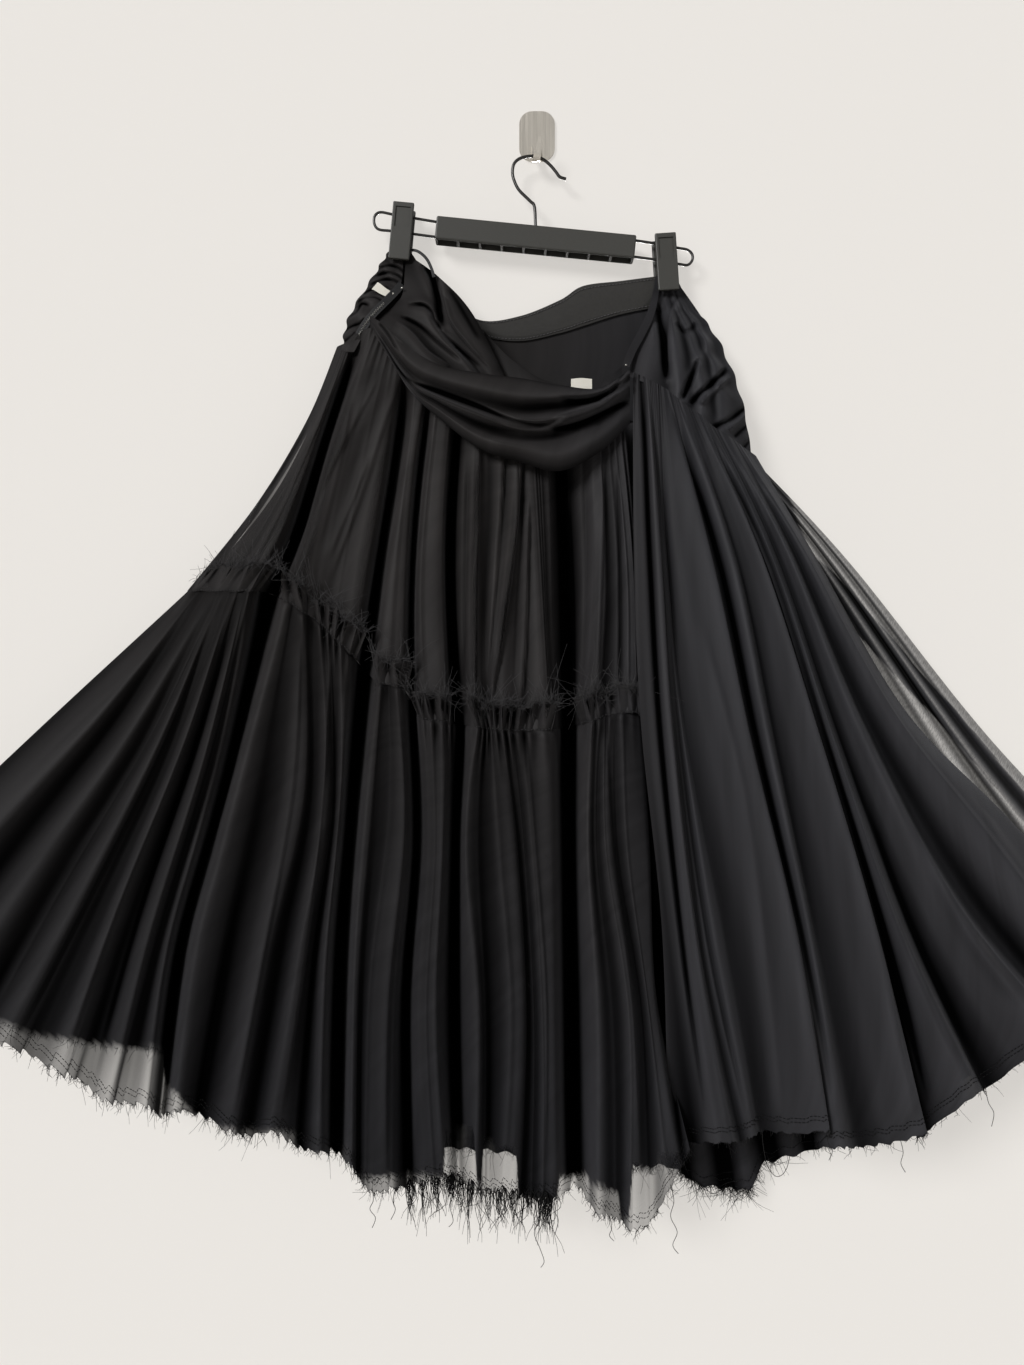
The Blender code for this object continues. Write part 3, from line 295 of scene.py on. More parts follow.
# Left yoke, from the zip round to the back: side, drop and depth from the clip down.
LEFT_YOKE = (
    ((403, 248, 13.6), (400, 286, 24), (377, 311, 38), (354, 352, 49)),
    ((398, 248, 13.6), (392, 280, 23), (367, 309, 36), (350, 352, 45)),
    ((394, 248, 13.4), (384, 273, 20), (358, 308, 30), (346, 352, 40)),
    ((391, 248, 13.2), (376, 272, 16.5), (349, 317, 24), (342, 350, 29)),
    ((392, 248, 12.8), (379, 274, 14.6), (353, 318, 17), (345, 351, 17.6)),
)

# Front yoke drapery: folds fan out of the clip and the zip to the swag.
FRONT_YOKE = (
    ((367.8, 327.2, 43.3), (379, 336, 50), (392, 345, 55), (406, 356, 59)),
    ((380.6, 317.6, 39.7), (398, 328, 50), (417, 348, 58), (445, 374, 64)),
    ((388.6, 310.6, 35.7), (409, 321, 44), (433, 348, 54), (466, 384, 60)),
    ((396.6, 302.6, 31.7), (426, 311, 46), (446, 340, 59), (486, 390, 65)),
    ((403, 291.5, 28), (429, 300, 38), (452, 338, 51), (498, 394, 60)),
    ((406, 257, 15.6), (432, 293, 36), (464, 335, 53), (509, 398, 64)),
    ((410, 256, 15.6), (440, 278, 30), (474, 316, 43), (513, 394, 58)),
)

# Front waist facing behind the swag, left to right: top edge, middle and tier line.
FRONT_WAIST = (
    ((484, 331, 34), (488, 362, 42), (492, 393, 49)),
    ((510, 358, 44), (512, 381, 49), (514, 404, 54)),
    ((540, 378, 54), (540, 395, 62), (540, 412, 67.6)),
    ((570, 387, 61), (570, 402, 65.5), (570, 417, 67.6)),
    ((592, 391, 62), (594, 404, 65.5), (595, 417, 67)),
    ((610, 376, 59), (611, 394, 62.5), (612, 413, 65.6)),
    ((622, 367, 55), (623, 387, 59), (624, 407, 63.6)),
)

# Swag of three folds: drops of each fold at the named sides, and the depths of crests and valleys.
SWAG_SIDES = (370, 380, 410, 440, 480, 520, 560, 600, 630)
SWAG_CREST = (49.9, 69, 82, 88, 94, 97, 97, 90, 76)
SWAG_VALLEY = (49.5, 67, 77, 81, 85, 87, 87, 82, 73)
SWAG_FOLDS = (
    ("top_edge", SWAG_VALLEY, (316, 322, 348, 365, 373, 378, 385, 388, 369)),
    ("crest_1", SWAG_CREST, (318, 328, 362, 378, 388, 395, 396, 392, 373)),
    ("valley_1", SWAG_VALLEY, (320, 333, 373, 389, 402, 409, 406, 398, 378)),
    ("crest_2", SWAG_CREST, (322, 336, 379, 399, 415, 422, 419, 406, 385)),
    ("valley_2", SWAG_VALLEY, (324, 338, 384, 404, 425, 433, 434, 419, 396)),
    ("crest_3", SWAG_CREST, (326, 341, 388, 411, 437, 448, 454, 436, 411)),
    ("bottom_edge", SWAG_VALLEY, (328, 343, 391, 419, 449, 462, 471, 452, 424)),
)

# Back yoke and waist band, left to right.
BACK_YOKE = (
    ((391, 248, 10.7), (374, 290, 11.6), (355, 322, 12.8), (344, 353, 14)),
    ((409, 250, 10.7), (404, 290, 11.6), (401, 330, 12.8), (400, 366, 14)),
    ((445, 306, 10.9), (444, 330, 11.8), (444, 352, 12.8), (443, 378, 14)),
    ((484, 330, 11.2), (484, 350, 12), (484, 368, 13), (484, 390, 14)),
    ((520, 336, 11.4), (520, 355, 12), (520, 376, 13), (520, 398, 14)),
    ((560, 328, 11.4), (560, 355, 12), (561, 382, 13), (562, 406, 14)),
    ((600, 316, 11.2), (602, 350, 12), (606, 384, 13), (612, 416, 14)),
    ((640, 308, 11.0), (648, 345, 12), (658, 388, 13), (668, 431, 14)),
    ((660, 284, 10.7), (676, 330, 11.8), (698, 385, 13), (716, 447, 14)),
    ((673, 276, 10.7), (712, 334, 11.6), (738, 395, 12.8), (751, 463, 14)),
)
BACK_BAND = (
    ((414, 266, 13.3), (412, 281, 13.3)),
    ((445, 297, 13.3), (443, 312, 13.3)),
    ((480, 320, 13.5), (482, 335, 13.5)),
    ((520, 316, 13.7), (520, 341, 13.7)),
    ((560, 300, 13.7), (560, 333, 13.7)),
    ((583, 286, 13.7), (583, 326, 13.7)),
    ((620, 281, 13.5), (618, 315, 13.5)),
    ((659, 276, 13.2), (652, 308, 13.2)),
)

# Narrow strips: centre line as side, drop and depth.
WAIST_STRIP = (
    (626, 366, 67),
    (632, 351, 58.5),
    (640, 336, 49),
    (648, 320, 38.5),
    (653, 306, 27.5),
    (656, 291, 18.4),
    (659, 276, 17.6),
)
ZIP_LINE = (
    (402, 284, 29),
    (393, 294, 35),
    (383, 304, 40.5),
    (374, 313, 45),
    (366, 323, 48.5),
    (359, 335, 52),
)
HANGING_LOOP = (
    (404, 250, 19.6),
    (411, 250, 19.6),
    (417, 251, 21.5),
    (423, 255, 26),
    (428, 261, 30),
    (432, 270, 32),
    (434, 277, 33),
)
WAIST_LABEL = (
    ((571, 379, 57.6), (571, 398, 61.2)),
    ((581, 378, 58.0), (581, 399, 61.5)),
    ((592, 379, 58.2), (592, 399, 61.2)),
)

# Centre lines of the hanger's wires: side and drop.
HOOK_WIRE_LINE = (
    (535.6, 228.3), (534.5, 207), (530, 201), (519, 190), (514, 180), (512.5, 172), (514, 164), (519, 159),
    (527, 156.5), (535.5, 156.5), (544, 160), (551, 166), (556, 172), (560, 177), (566, 179),
)
LEFT_LOOP = (
    (436.7, 222.0), (413, 218), (393, 214.5), (381, 212.3), (375.5, 215.0), (374, 220.5), (375.5, 226.5),
    (380, 229.8), (391, 231), (411, 233.7), (435.2, 237.0),
)
RIGHT_LOOP = (
    (635.9, 240.6), (658, 244), (678, 248), (687, 249.7), (692, 254), (692.3, 260), (688, 264.8),
    (680, 264.3), (657, 260), (634.4, 256.9),
)

# Creases, given one by one. Height is how far one stands out, or sinks in below zero; left and right are its
# widths on the sheet's left and right of a line that runs down, or below and above one that runs right.
UPPER_CREASES = (
    Crease(-22, 5.0, 7.0, ((361, 330), (327, 434), (298, 530), (271, 600), (230, 700))),
    Crease(-26, 6.0, 7.0, ((407, 376), (394, 470), (380, 556), (365, 660), (345, 760))),
    Crease(-18, 4.0, 4.0, ((431, 390), (419, 480), (412, 580), (411, 700), (412, 780))),
    Crease(-18, 4.5, 4.5, ((461, 400), (452, 505), (451, 604), (459, 724), (464, 800))),
    Crease(-20, 7.0, 7.0, ((558, 400), (563, 520), (566, 622), (568, 730), (569, 810))),
    Crease(3.0, 5.0, 1.4, ((313, 400), (298, 430), (283, 457))),
    Crease(-3.5, 1.6, 3.0, ((309, 424), (288, 460), (268, 492))),
    Crease(3.0, 5.0, 1.4, ((268, 480), (247, 524), (225, 570))),
    Crease(-3.0, 2.0, 3.0, ((292, 480), (264, 530), (234, 575))),
    Crease(4.5, 9.0, 9.0, ((384, 372), (354, 440), (335, 535), (318, 622))),
    Crease(2.2, 9.0, 2.0, ((381, 372), (345, 440), (300, 530))),
    Crease(2.2, 8.0, 2.0, ((396, 388), (366, 480), (331, 576))),
    Crease(1.8, 7.0, 2.0, ((369, 457), (350, 505), (327, 561))),
    Crease(1.5, 6.0, 2.0, ((352, 400), (338, 470), (318, 545))),
    Crease(5.0, 9.0, 1.4, ((504, 430), (502, 480), (495, 580), (486, 690))),
    Crease(7.0, 10.0, 1.4, ((522, 440), (518, 510), (508, 600), (489, 710))),
    Crease(6.0, 9.0, 1.4, ((529, 500), (527, 565), (525, 640), (519, 720))),
    Crease(4.0, 5.0, 1.6, ((480, 430), (478, 520), (476, 620), (474, 720))),
    Crease(-2.6, 2.0, 2.0, ((468, 460), (466, 570), (463, 700))),
    Crease(2.5, 4.0, 1.4, ((604, 455), (602, 560), (597, 700))),
    Crease(-3.0, 2.0, 2.0, ((618, 460), (620, 560), (621, 700))),
)
LOWER_CREASES = (
    Crease(-26, 9.0, 9.0, ((300, 470), (271, 592), (240, 720), (207, 850), (178, 960), (158, 1150))),
    Crease(-26, 8.0, 8.0, ((378, 540), (365, 670), (352, 815), (340, 970), (334, 1220))),
    Crease(-20, 4.5, 4.5, ((408, 600), (412, 710), (416, 842), (406, 1005), (410, 1230))),
    Crease(-19, 6.0, 5.0, ((460, 620), (461, 735), (456, 850), (455, 1015), (459, 1230))),
    Crease(-26, 9.0, 8.0, ((568, 610), (568, 720), (568, 850), (570, 1015), (573, 1240))),
    Crease(-16, 4.0, 4.0, ((640, 630), (648, 730), (656, 850), (662, 1000), (690, 1200))),
    Crease(3.0, 10.0, 2.0, ((300, 640), (292, 790), (262, 960), (232, 1120))),
    Crease(3.5, 12.0, 2.0, ((330, 655), (322, 800), (304, 960), (280, 1120))),
    Crease(3.0, 8.0, 2.0, ((350, 680), (338, 820), (326, 970), (320, 1140))),
    Crease(3.0, 8.0, 2.0, ((398, 700), (404, 830), (388, 1000), (385, 1180))),
    Crease(2.5, 7.0, 1.6, ((446, 730), (442, 860), (436, 1010), (444, 1170))),
    Crease(2.5, 5.0, 1.6, ((492, 740), (500, 860), (512, 1010), (506, 1170))),
    Crease(3.0, 6.0, 1.6, ((526, 740), (536, 860), (546, 1010), (544, 1190))),
    Crease(3.0, 7.0, 2.0, ((606, 735), (612, 850), (632, 1010), (640, 1190))),
    Crease(3.0, 8.0, 2.0, ((210, 610), (150, 735), (60, 890), (-20, 1035))),
    Crease(3.0, 9.0, 2.0, ((226, 610), (185, 740), (118, 905), (60, 1070))),
    Crease(3.0, 8.0, 2.0, ((244, 610), (212, 740), (158, 925), (112, 1095))),
    Crease(-4.0, 3.0, 3.0, ((236, 610), (198, 740), (140, 915), (92, 1085))),
    Crease(-4.0, 3.0, 3.0, ((216, 610), (166, 740), (88, 900), (14, 1045))),
)
OVERSKIRT_CREASES = (
    Crease(3.5, 9.0, 1.6, ((647, 390), (662, 560), (674, 735), (700, 950))),
    Crease(4.0, 14.0, 1.6, ((668, 400), (714, 566), (751, 742), (797, 940), (826, 1120))),
    Crease(3.5, 9.0, 1.6, ((684, 416), (736, 562), (774, 746), (816, 950))),
    Crease(4.0, 12.0, 1.6, ((701, 424), (765, 560), (822, 740), (879, 935), (915, 1120))),
    Crease(3.5, 8.0, 1.6, ((717, 434), (776, 558), (838, 740), (908, 932), (980, 1085))),
    Crease(3.5, 9.0, 1.6, ((727, 440), (789, 550), (864, 728), (958, 905), (1060, 1030))),
    Crease(-5.0, 2.0, 5.0, ((672, 410), (720, 566), (757, 742), (803, 940), (835, 1110))),
    Crease(-5.0, 2.0, 4.0, ((706, 430), (771, 562), (828, 742), (886, 938), (930, 1110))),
    Crease(-4.0, 2.0, 4.0, ((652, 400), (667, 560), (680, 735), (710, 950), (750, 1130))),
    Crease(-8.0, 2.5, 3.5, ((640, 350), (645, 440), (650, 560), (660, 730), (682, 940), (706, 1120))),
    Crease(2.5, 10.0, 4.0, ((700, 620), (745, 800), (770, 1000), (780, 1120))),
    Crease(3.0, 10.0, 5.0, ((860, 800), (905, 940), (960, 1060))),
    Crease(-3.0, 6.0, 6.0, ((900, 800), (960, 930), (1020, 1010))),
)
SWAG_CREASES = (
    Crease(
        4.0, 9.0, 3.0,
        ((391, 312), (406, 332), (430, 358), (455, 370), (500, 376), (560, 386), (606, 390)),
    ),
    Crease(
        -6.0, 3.5, 2.0,
        ((380, 336), (396, 366), (412, 382), (440, 392), (475, 405), (515, 421), (545, 424), (566, 415)),
    ),
    Crease(3.5, 8.0, 2.0, ((384, 346), (400, 374), (430, 394), (470, 411), (515, 429), (555, 430))),
    Crease(4.0, 8.0, 2.5, ((555, 418), (575, 411), (602, 402), (628, 388))),
    Crease(-4.0, 3.0, 2.5, ((551, 430), (580, 423), (607, 411), (630, 401))),
    Crease(2.0, 8.0, 4.0, ((486, 440), (520, 444), (560, 440), (600, 424))),
    Crease(-4.0, 4.0, 3.0, ((560, 399), (578, 400), (594, 398), (608, 391))),
    Crease(2.4, 4.0, 1.6, ((600, 400), (615, 392), (627, 376))),
    Crease(-2.2, 1.6, 1.6, ((604, 394), (616, 384), (626, 370))),
    Crease(2.6, 3.0, 1.2, ((382, 318), (394, 326), (404, 342))),
    Crease(-2.6, 1.4, 1.4, ((378, 322), (388, 334), (398, 352))),
)
YOKE_CREASES = (
    Crease(-6.0, 3.0, 2.0, ((407, 305), (423, 305), (432, 312), (436, 322), (452, 343), (481, 368))),
    Crease(-12.0, 4.0, 4.0, ((424, 262), (433, 278), (438, 300), (442, 330))),
    Crease(4.0, 2.0, 10.0, ((434, 276), (444, 300), (452, 322), (470, 345), (495, 372))),
    Crease(3.0, 8.0, 1.6, ((396, 322), (412, 334), (428, 352), (450, 366))),
    Crease(-3.0, 2.0, 2.0, ((400, 316), (420, 326), (440, 344), (462, 362))),
    Crease(-2.0, 3.0, 3.0, ((448, 288), (462, 310), (480, 342))),
)
LEFT_YOKE_CREASES = (
    Crease(-3.2, 1.2, 1.8, ((378, 269), (389, 266), (400, 269), (407, 277))),
    Crease(-3.4, 1.2, 1.8, ((375, 277), (387, 273), (398, 276), (406, 283))),
    Crease(-3.4, 1.2, 1.8, ((370, 286), (380, 281), (391, 280), (403, 285))),
    Crease(-3.4, 1.2, 1.8, ((362, 296), (371, 290), (381, 288), (392, 289))),
    Crease(-3.0, 1.2, 1.8, ((357, 304), (365, 298), (376, 298), (384, 303))),
    Crease(-3.4, 1.2, 1.8, ((347, 318), (357, 312), (362, 304), (370, 306))),
    Crease(-3.2, 1.2, 1.8, ((342, 334), (351, 327), (361, 323), (366, 318))),
    Crease(-2.6, 1.2, 1.6, ((343, 343), (350, 337), (356, 331))),
    Crease(8.0, 8.0, 9.0, ((336, 349), (346, 350), (356, 348), (368, 340))),
)
HIP_CREASES = (
    Crease(-12.0, 4.0, 4.0, ((656, 300), (660, 325), (664, 345), (667, 380))),
    Crease(5.0, 1.8, 7.0, ((680, 299), (674, 308), (671, 320), (669, 347), (668, 386))),
    Crease(-3.5, 2.6, 2.6, ((676, 322), (683, 331), (691, 330), (696, 322))),
    Crease(4.0, 5.0, 6.0, ((706, 326), (706, 346), (698, 364), (687, 384))),
    Crease(-8.0, 3.0, 2.4, ((699, 358), (694, 372), (687, 388), (682, 401))),
    Crease(-8.0, 2.6, 2.8, ((728, 368), (715, 381), (702, 392), (690, 405))),
    Crease(4.0, 5.0, 2.0, ((731, 376), (712, 393), (700, 405))),
    Crease(-6.0, 2.4, 2.4, ((748, 405), (735, 416), (722, 424), (712, 428))),
    Crease(3.5, 3.0, 2.0, ((748, 413), (737, 423), (727, 431))),
    Crease(-5.0, 2.0, 2.0, ((752, 422), (742, 430), (733, 438))),
    Crease(-4.0, 1.8, 1.8, ((752, 438), (746, 445), (741, 451))),
)

# Bunches of the ruffle's heading: the upper tier's folds that one runs between, and how far its top
# edge fans out past its seam to the left and to the right.
HEADINGS = (
    Heading(0.9, 3.4, 0, 8),
    Heading(4.8, 8.2, 15, 6),
    Heading(9.9, 11.15, 9, 8),
    Heading(12.75, 14.3, 9, 4),
    Heading(15.95, 20.4, 9, 9),
    Heading(22.6, 26.0, 8, 0),
)

# Small pleats of the tiers and the overskirt, by the folds that they run between.
UPPER_PLEATS = (
    Pleats(1, 4, 4, 0.5, 1.4),
    Pleats(5, 8, 3, 0.3, 0.5),
    Pleats(10, 11, 2, 0.4, 0.8),
    Pleats(13, 14, 2, 0.8, 1.2),
    Pleats(16, 20, 4, 0.8, 1.0),
    Pleats(20, 23, 8, 2.4, 1.2),
    Pleats(23, 26, 5, 1.8, 1.8),
)
LOWER_PLEATS = (
    Pleats(1, 12, 7, 0.4, 1.6),
    Pleats(14, 20, 5, 0.6, 1.6),
    Pleats(22, 25, 3, 0.6, 1.8),
    Pleats(27, 28, 2, 0.6, 1.4),
    Pleats(30, 35, 6, 1.0, 2.4),
    Pleats(37, 42, 5, 1.0, 2.4),
)
OVERSKIRT_PLEATS = (
    Pleats(2, 6, 3, 0.4, 0.6),
    Pleats(6, 12, 3, 0.4, 0.8),
    Pleats(12, 20, 6, 0.6, 1.6),
)

# How much painted light the upper tier's folds get, by fold: it scales their painted fold shade.
UPPER_LIGHT = (
    (0, 1.0), (4, 1.0), (5, 1.2), (8, 1.1), (9, 0.8), (14, 1.0), (14.6, 0.6), (15.6, 0.6), (16, 1.25),
    (19.7, 1.35), (20.3, 0.6), (22, 0.6), (23, 1.0), (26, 1.0),
)

# How far the back's hem is drawn up at each side.
BACK_HEM_LIFT = (
    (600, 0), (670, 0), (700, -18), (750, -22), (764, 6), (840, 20), (900, 36), (1000, 20), (1100, 0),
)

# Layers of chiffon across a piece, by fold: the sides of both front pieces are sheer.
UPPER_SHEER = ((0, 1.2), (1, 1.0), (1.6, 1.6), (2.2, 2.2), (3.0, 3.2), (3.8, 8.0))
OVERSKIRT_SHEER = ((0, 8), (17.6, 8), (19.0, 3.2), (19.9, 1.6), (21, 1.2))
WHOLE = 8.0

# Where the opaque lining of the lower tier ends: side, drop and the layers of chiffon below it.
LINING_HEM = (
    (-170, 905, 1.5), (-60, 985, 1.5), (0, 1018, 1.5), (28, 1031, 1.35), (69, 1038, 0.95),
    (104, 1043, 0.85), (163, 1047, 0.85), (165, 1080, 0.9), (188, 1103, 1.0), (208, 1124, 1.4),
    (296, 1130, 1.6), (298, 1152, 1.6), (335, 1153, 1.6), (338, 1172, 1.6), (372, 1176, 1.0),
    (410, 1170, 0.9), (443, 1176, 0.6), (446, 1130, 0.35), (460, 1122, 0.3), (474, 1128, 0.3),
    (477, 1178, 0.8), (481, 1180, 0.8), (484, 1136, 0.4), (500, 1144, 0.4), (516, 1146, 0.4),
    (519, 1196, 1.0), (556, 1200, 1.0), (560, 1174, 0.25), (588, 1172, 0.25), (591, 1182, 0.9),
    (618, 1190, 0.9), (622, 1218, 0.9), (629, 1214, 0.9), (633, 1164, 0.4), (653, 1168, 0.4),
    (658, 1152, 0.8), (695, 1150, 0.8),
)

# Edges of the doubled band in the back mesh, right of the overskirt, and the foot of the gap under it.
BAND_TOP = ((780, 470), (809, 551), (832, 571), (894, 640), (925, 678), (955, 709), (1024, 792), (1170, 905))
BAND_FOOT = ((780, 500), (811, 556), (851, 628), (905, 686), (955, 740), (1024, 822), (1170, 960))
GAP_FOOT = ((780, 540), (811, 557), (855, 636), (886, 688), (913, 727), (955, 775), (986, 805), (1060, 880))

# Long threads of the front hem, in tufts between two sides, and the few very long ones.
FRINGES = (
    Fringe("left", 410, 472, 230, 61),
    Fringe("right", 480, 560, 230, 62),
)
THREADS_IN_A_TUFT = 11
TUFT_SPREAD = 1.3
FRINGE_TUCK = 6.0
LOOSE_THREADS = (
    Loose("lower", 372, ((1, 8), (-2, 16), (3, 24), (0, 33))),
    Loose("lower", 396, ((-3, 9), (-1, 18), (-5, 27))),
    Loose("lower", 452, ((2, 12), (-2, 24), (1, 38), (-3, 44))),
    Loose("lower", 538, ((2, 14), (-3, 28), (2, 42), (6, 54), (3, 60))),
    Loose("lower", 556, ((-2, 10), (2, 20), (-1, 33))),
    Loose("lower", 610, ((2, 8), (0, 15), (4, 20))),
    Loose("lower", 670, ((3, 12), (0, 26), (6, 40), (2, 52), (7, 60))),
    Loose("over", 762, ((2, 16), (6, 32), (14, 40), (22, 34), (26, 18), (28, 4))),
    Loose("over", 830, ((-2, 9), (2, 18), (-1, 26))),
    Loose("over", 900, ((3, 10), (1, 20), (5, 28))),
    Loose("over", 985, ((3, 12), (8, 22), (6, 34))),
)


def length_property(label, what, millimetres):
    """A length that the panel shows."""
    return bpy.props.FloatProperty(
        name=label, description=what, default=millimetres * MM, min=0.0, unit="LENGTH"
    )


def colour_property(label, what, value):
    """A colour that the panel shows."""
    return bpy.props.FloatVectorProperty(
        name=label, description=what, default=value, min=0.0, max=1.0, size=3, subtype="COLOR"
    )


class SkirtSizes(bpy.types.PropertyGroup):
    """Sizes that a user would change."""

    gather_height: length_property("Gather height", "How far the small gathers stand out under a seam", 2.0)
    fray_length: length_property("Fray length", "Usual length of the short threads along a raw edge", 3.8)
    fringe_length: length_property("Fringe length", "Usual length of the long hem threads", 24.0)
    thread: length_property("Thread", "Thickness of a loose thread", 0.46)
    stitch: length_property("Stitch", "Length of one stitch of the hems and seams", 2.4)
    weave: length_property("Weave", "Distance between the threads of the chiffon", 0.45)
    mesh_gap: length_property("Mesh gap", "Distance between the threads of the back's mesh", 1.9)
    sheer: bpy.props.FloatProperty(
        name="Sheer",
        description="Share of light that passes through one flat layer of chiffon",
        default=0.36,
        min=0.0,
        max=1.0,
        subtype="FACTOR",
    )


class SkirtColours(bpy.types.PropertyGroup):
    """Colours that a user would change."""

    chiffon: colour_property("Chiffon", "Colour of the chiffon", (0.0215, 0.0208, 0.0215))
    mesh: colour_property("Mesh", "Colour of the back's mesh", (0.030, 0.029, 0.030))
    band: colour_property("Band", "Colour of the waist band's mesh", (0.026, 0.025, 0.0235))
    tape: colour_property("Tape", "Colour of the zip tape and the hanging ribbon", (0.014, 0.014, 0.015))
    label: colour_property("Label", "Colour of the blank labels", (0.72, 0.69, 0.61))
    plastic: colour_property("Plastic", "Colour of the hanger's plastic", (0.049, 0.048, 0.043))
    steel: colour_property("Steel", "Colour of the wall hook", (0.76, 0.71, 0.63))
    wire: colour_property("Wire", "Colour of the hanger's wires", (0.07, 0.068, 0.066))
    wall: colour_property("Wall", "Colour of the wall", (0.84, 0.81, 0.77))
    floor: colour_property("Floor", "Colour of the floor", (0.80, 0.77, 0.73))


def sizes():
    """The sizes of the scene."""
    return bpy.context.scene.skirt_sizes


def colours():
    """The colours of the scene."""
    return bpy.context.scene.skirt_colours


def on_sheet(points):
    """Places in metres that the eye sees at each side and drop, standing depth off the wall."""
    side, drop, depth = np.moveaxis(np.asarray(points, float), -1, 0)
    nearer = 1.0 - depth / EYE_DISTANCE
    across = EYE_SIDE + (side - EYE_SIDE) * nearer - HOOK_SIDE
    down = EYE_DROP + (drop - EYE_DROP) * nearer - HOOK_DROP
    return np.stack([across, -depth, -down], axis=-1) * MM


def between(values, where):
    """Smooth values at places along a list, 0 at its start and 1 at its end."""
    values, where = np.asarray(values, float), np.asarray(where, float)
    last = len(values) - 1
    index = np.minimum((where * last).astype(int), last - 1)
    t = (where * last - index).reshape((-1,) + (1,) * (values.ndim - 1))
    p0, p1, p2, p3 = (values[np.clip(index + k, 0, last)] for k in (-1, 0, 1, 2))
    bend = 2 * p0 - 5 * p1 + 4 * p2 - p3
    twist = 3 * (p1 - p2) + p3 - p0
    return 0.5 * (2 * p1 + (p2 - p0) * t + bend * t**2 + twist * t**3)


def surface(guides, across, down):
    """Sheet points of a surface through guides: rows run down it and columns across."""
    rows = between(np.swapaxes(np.asarray(guides, float), 0, 1), np.linspace(0, 1, down + 1))
    return np.swapaxes(between(np.swapaxes(rows, 0, 1), np.linspace(0, 1, across + 1)), 0, 1)


def fold_surface(guides, grid):
    """A surface through the guides of folds, with a grid's columns for each fold and its rows."""
    each, rows = grid
    return surface(guides, (len(guides) - 1) * each, rows)


def unit(vectors):
    """Vectors made one long."""
    return vectors / np.maximum(np.linalg.norm(vectors, axis=-1, keepdims=True), 1e-12)


def looked_up(table, at):
    """Values of a table of two columns at some places."""
    return np.interp(at, *np.array(table, float).T)


def read_off(line, side):
    """Drop and third value of a line of rows at some sides."""
    sides, drops, thirds = np.array(line, float).T
    return np.interp(side, sides, drops), np.interp(side, sides, thirds)


def fold_guides(folds, front, growth, back, line, lap=(LAP_HEIGHT, LAP)):
    """Each fold's points with their depth; a fold's first point may hang on a line of the piece above."""
    guides = []
    for fold in folds:
        points = []
        for level, (side, drop) in enumerate(fold.points):
            if isinstance(fold.out, tuple):
                depth = fold.out[level]
                if drop == 0:
                    drop = read_off(line, side)[0] - lap[0]
            elif level == 0:
                drop, depth = read_off(line, side)
                drop, depth = drop - lap[0], depth + lap[1]
            else:
                depth = back + (front[level] - back) * (1 - (1 - fold.out) * growth[level])
            points.append((side, drop, depth))
        guides.append(points)
    return guides


def pleats(columns, count, seed, lean=0.5):
    """One value for each column of a row of uneven pleats, from -1 to 1; lean moves the crest aside."""
    rng = np.random.default_rng(seed)
    widths = rng.uniform(0.55, 1.45, count)
    edges = np.concatenate([[0.0], np.cumsum(widths)]) / widths.sum()
    phase = np.interp(np.linspace(0, 1, columns), edges, np.arange(count + 1))
    part = phase % 1.0
    rise = np.where(part < lean, part / lean, (1 - part) / (1 - lean))
    strength = np.interp(phase, np.arange(count + 1), rng.uniform(0.35, 1.0, count + 1))
    return strength * (2 * rise**1.3 - 1)


def edge_fade(columns, share=0.03):
    """One at the middle columns and none at a piece's two side edges."""
    u = np.linspace(0, 1, columns)
    return np.clip(np.minimum(u, 1 - u) / share, 0, 1)


def gather(points, count, height, reach, seed, lean=0.5):
    """Adds uneven gathers that fade away under the top edge."""
    wave = pleats(points.shape[1], count, seed, lean) * edge_fade(points.shape[1])
    away = np.abs(points[..., 1] - points[:1, :, 1])
    points[..., 2] += height * wave * np.exp(-away / reach)


def crimp(points, folds, table, seed):
    """Adds small uneven pleats between two folds of a piece, each row of the table from top to foot."""
    columns = points.shape[1]
    for row in table:
        first, last = (round(fold / (folds - 1) * (columns - 1)) for fold in (row.first, row.last))
        span = last - first + 1
        wave = pleats(span, row.count, seed + row.first, 0.82) * edge_fade(span, 0.5 / row.count)
        height = np.linspace(row.top, row.foot, len(points))[:, None]
        points[:, first : last + 1, 2] += height * wave


def step_hem(points, height, count, seed, lean):
    """Lowers the foot of a piece unevenly from pleat to pleat."""
    columns = points.shape[1]
    down = np.linspace(0, 1, len(points))[:, None]
    points[..., 1] += height * down**14 * pleats(columns, count, seed, lean) * edge_fade(columns)


def press(points, creases):
    """Raises or sinks soft creases along smooth lines on the sheet."""
    for crease in creases:
        line = between(crease.points, np.linspace(0, 1, 4 * len(crease.points)))
        nearest = np.full(points.shape[:2], np.inf)
        side, place = np.zeros_like(nearest), np.zeros_like(nearest)
        for number, (start, end) in enumerate(zip(line, line[1:])):
            run, apart = end - start, points[..., :2] - start
            share = np.clip(apart @ run / (run @ run), 0, 1)
            off = np.linalg.norm(apart - share[..., None] * run, axis=-1)
            nearer = off < nearest
            nearest = np.where(nearer, off, nearest)
            side = np.where(nearer, apart[..., 0] * run[1] - apart[..., 1] * run[0], side)
            place = np.where(nearer, (number + share) / (len(line) - 1), place)
        width = np.where(side < 0, crease.left, crease.right)
        taper = np.clip(6 * np.minimum(place, 1 - place), 0, 1)
        points[..., 2] += crease.height * taper * np.exp(-((nearest / width) ** 2))


def soften(values, window):
    """A grid's values averaged along its rows over a window of columns."""
    padded = np.pad(values, ((0, 0), (window, window)), mode="edge")
    total = np.cumsum(np.pad(padded, ((0, 0), (1, 0))), axis=1)
    return (total[:, 2 * window + 1 :] - total[:, : -2 * window - 1]) / (2 * window + 1)


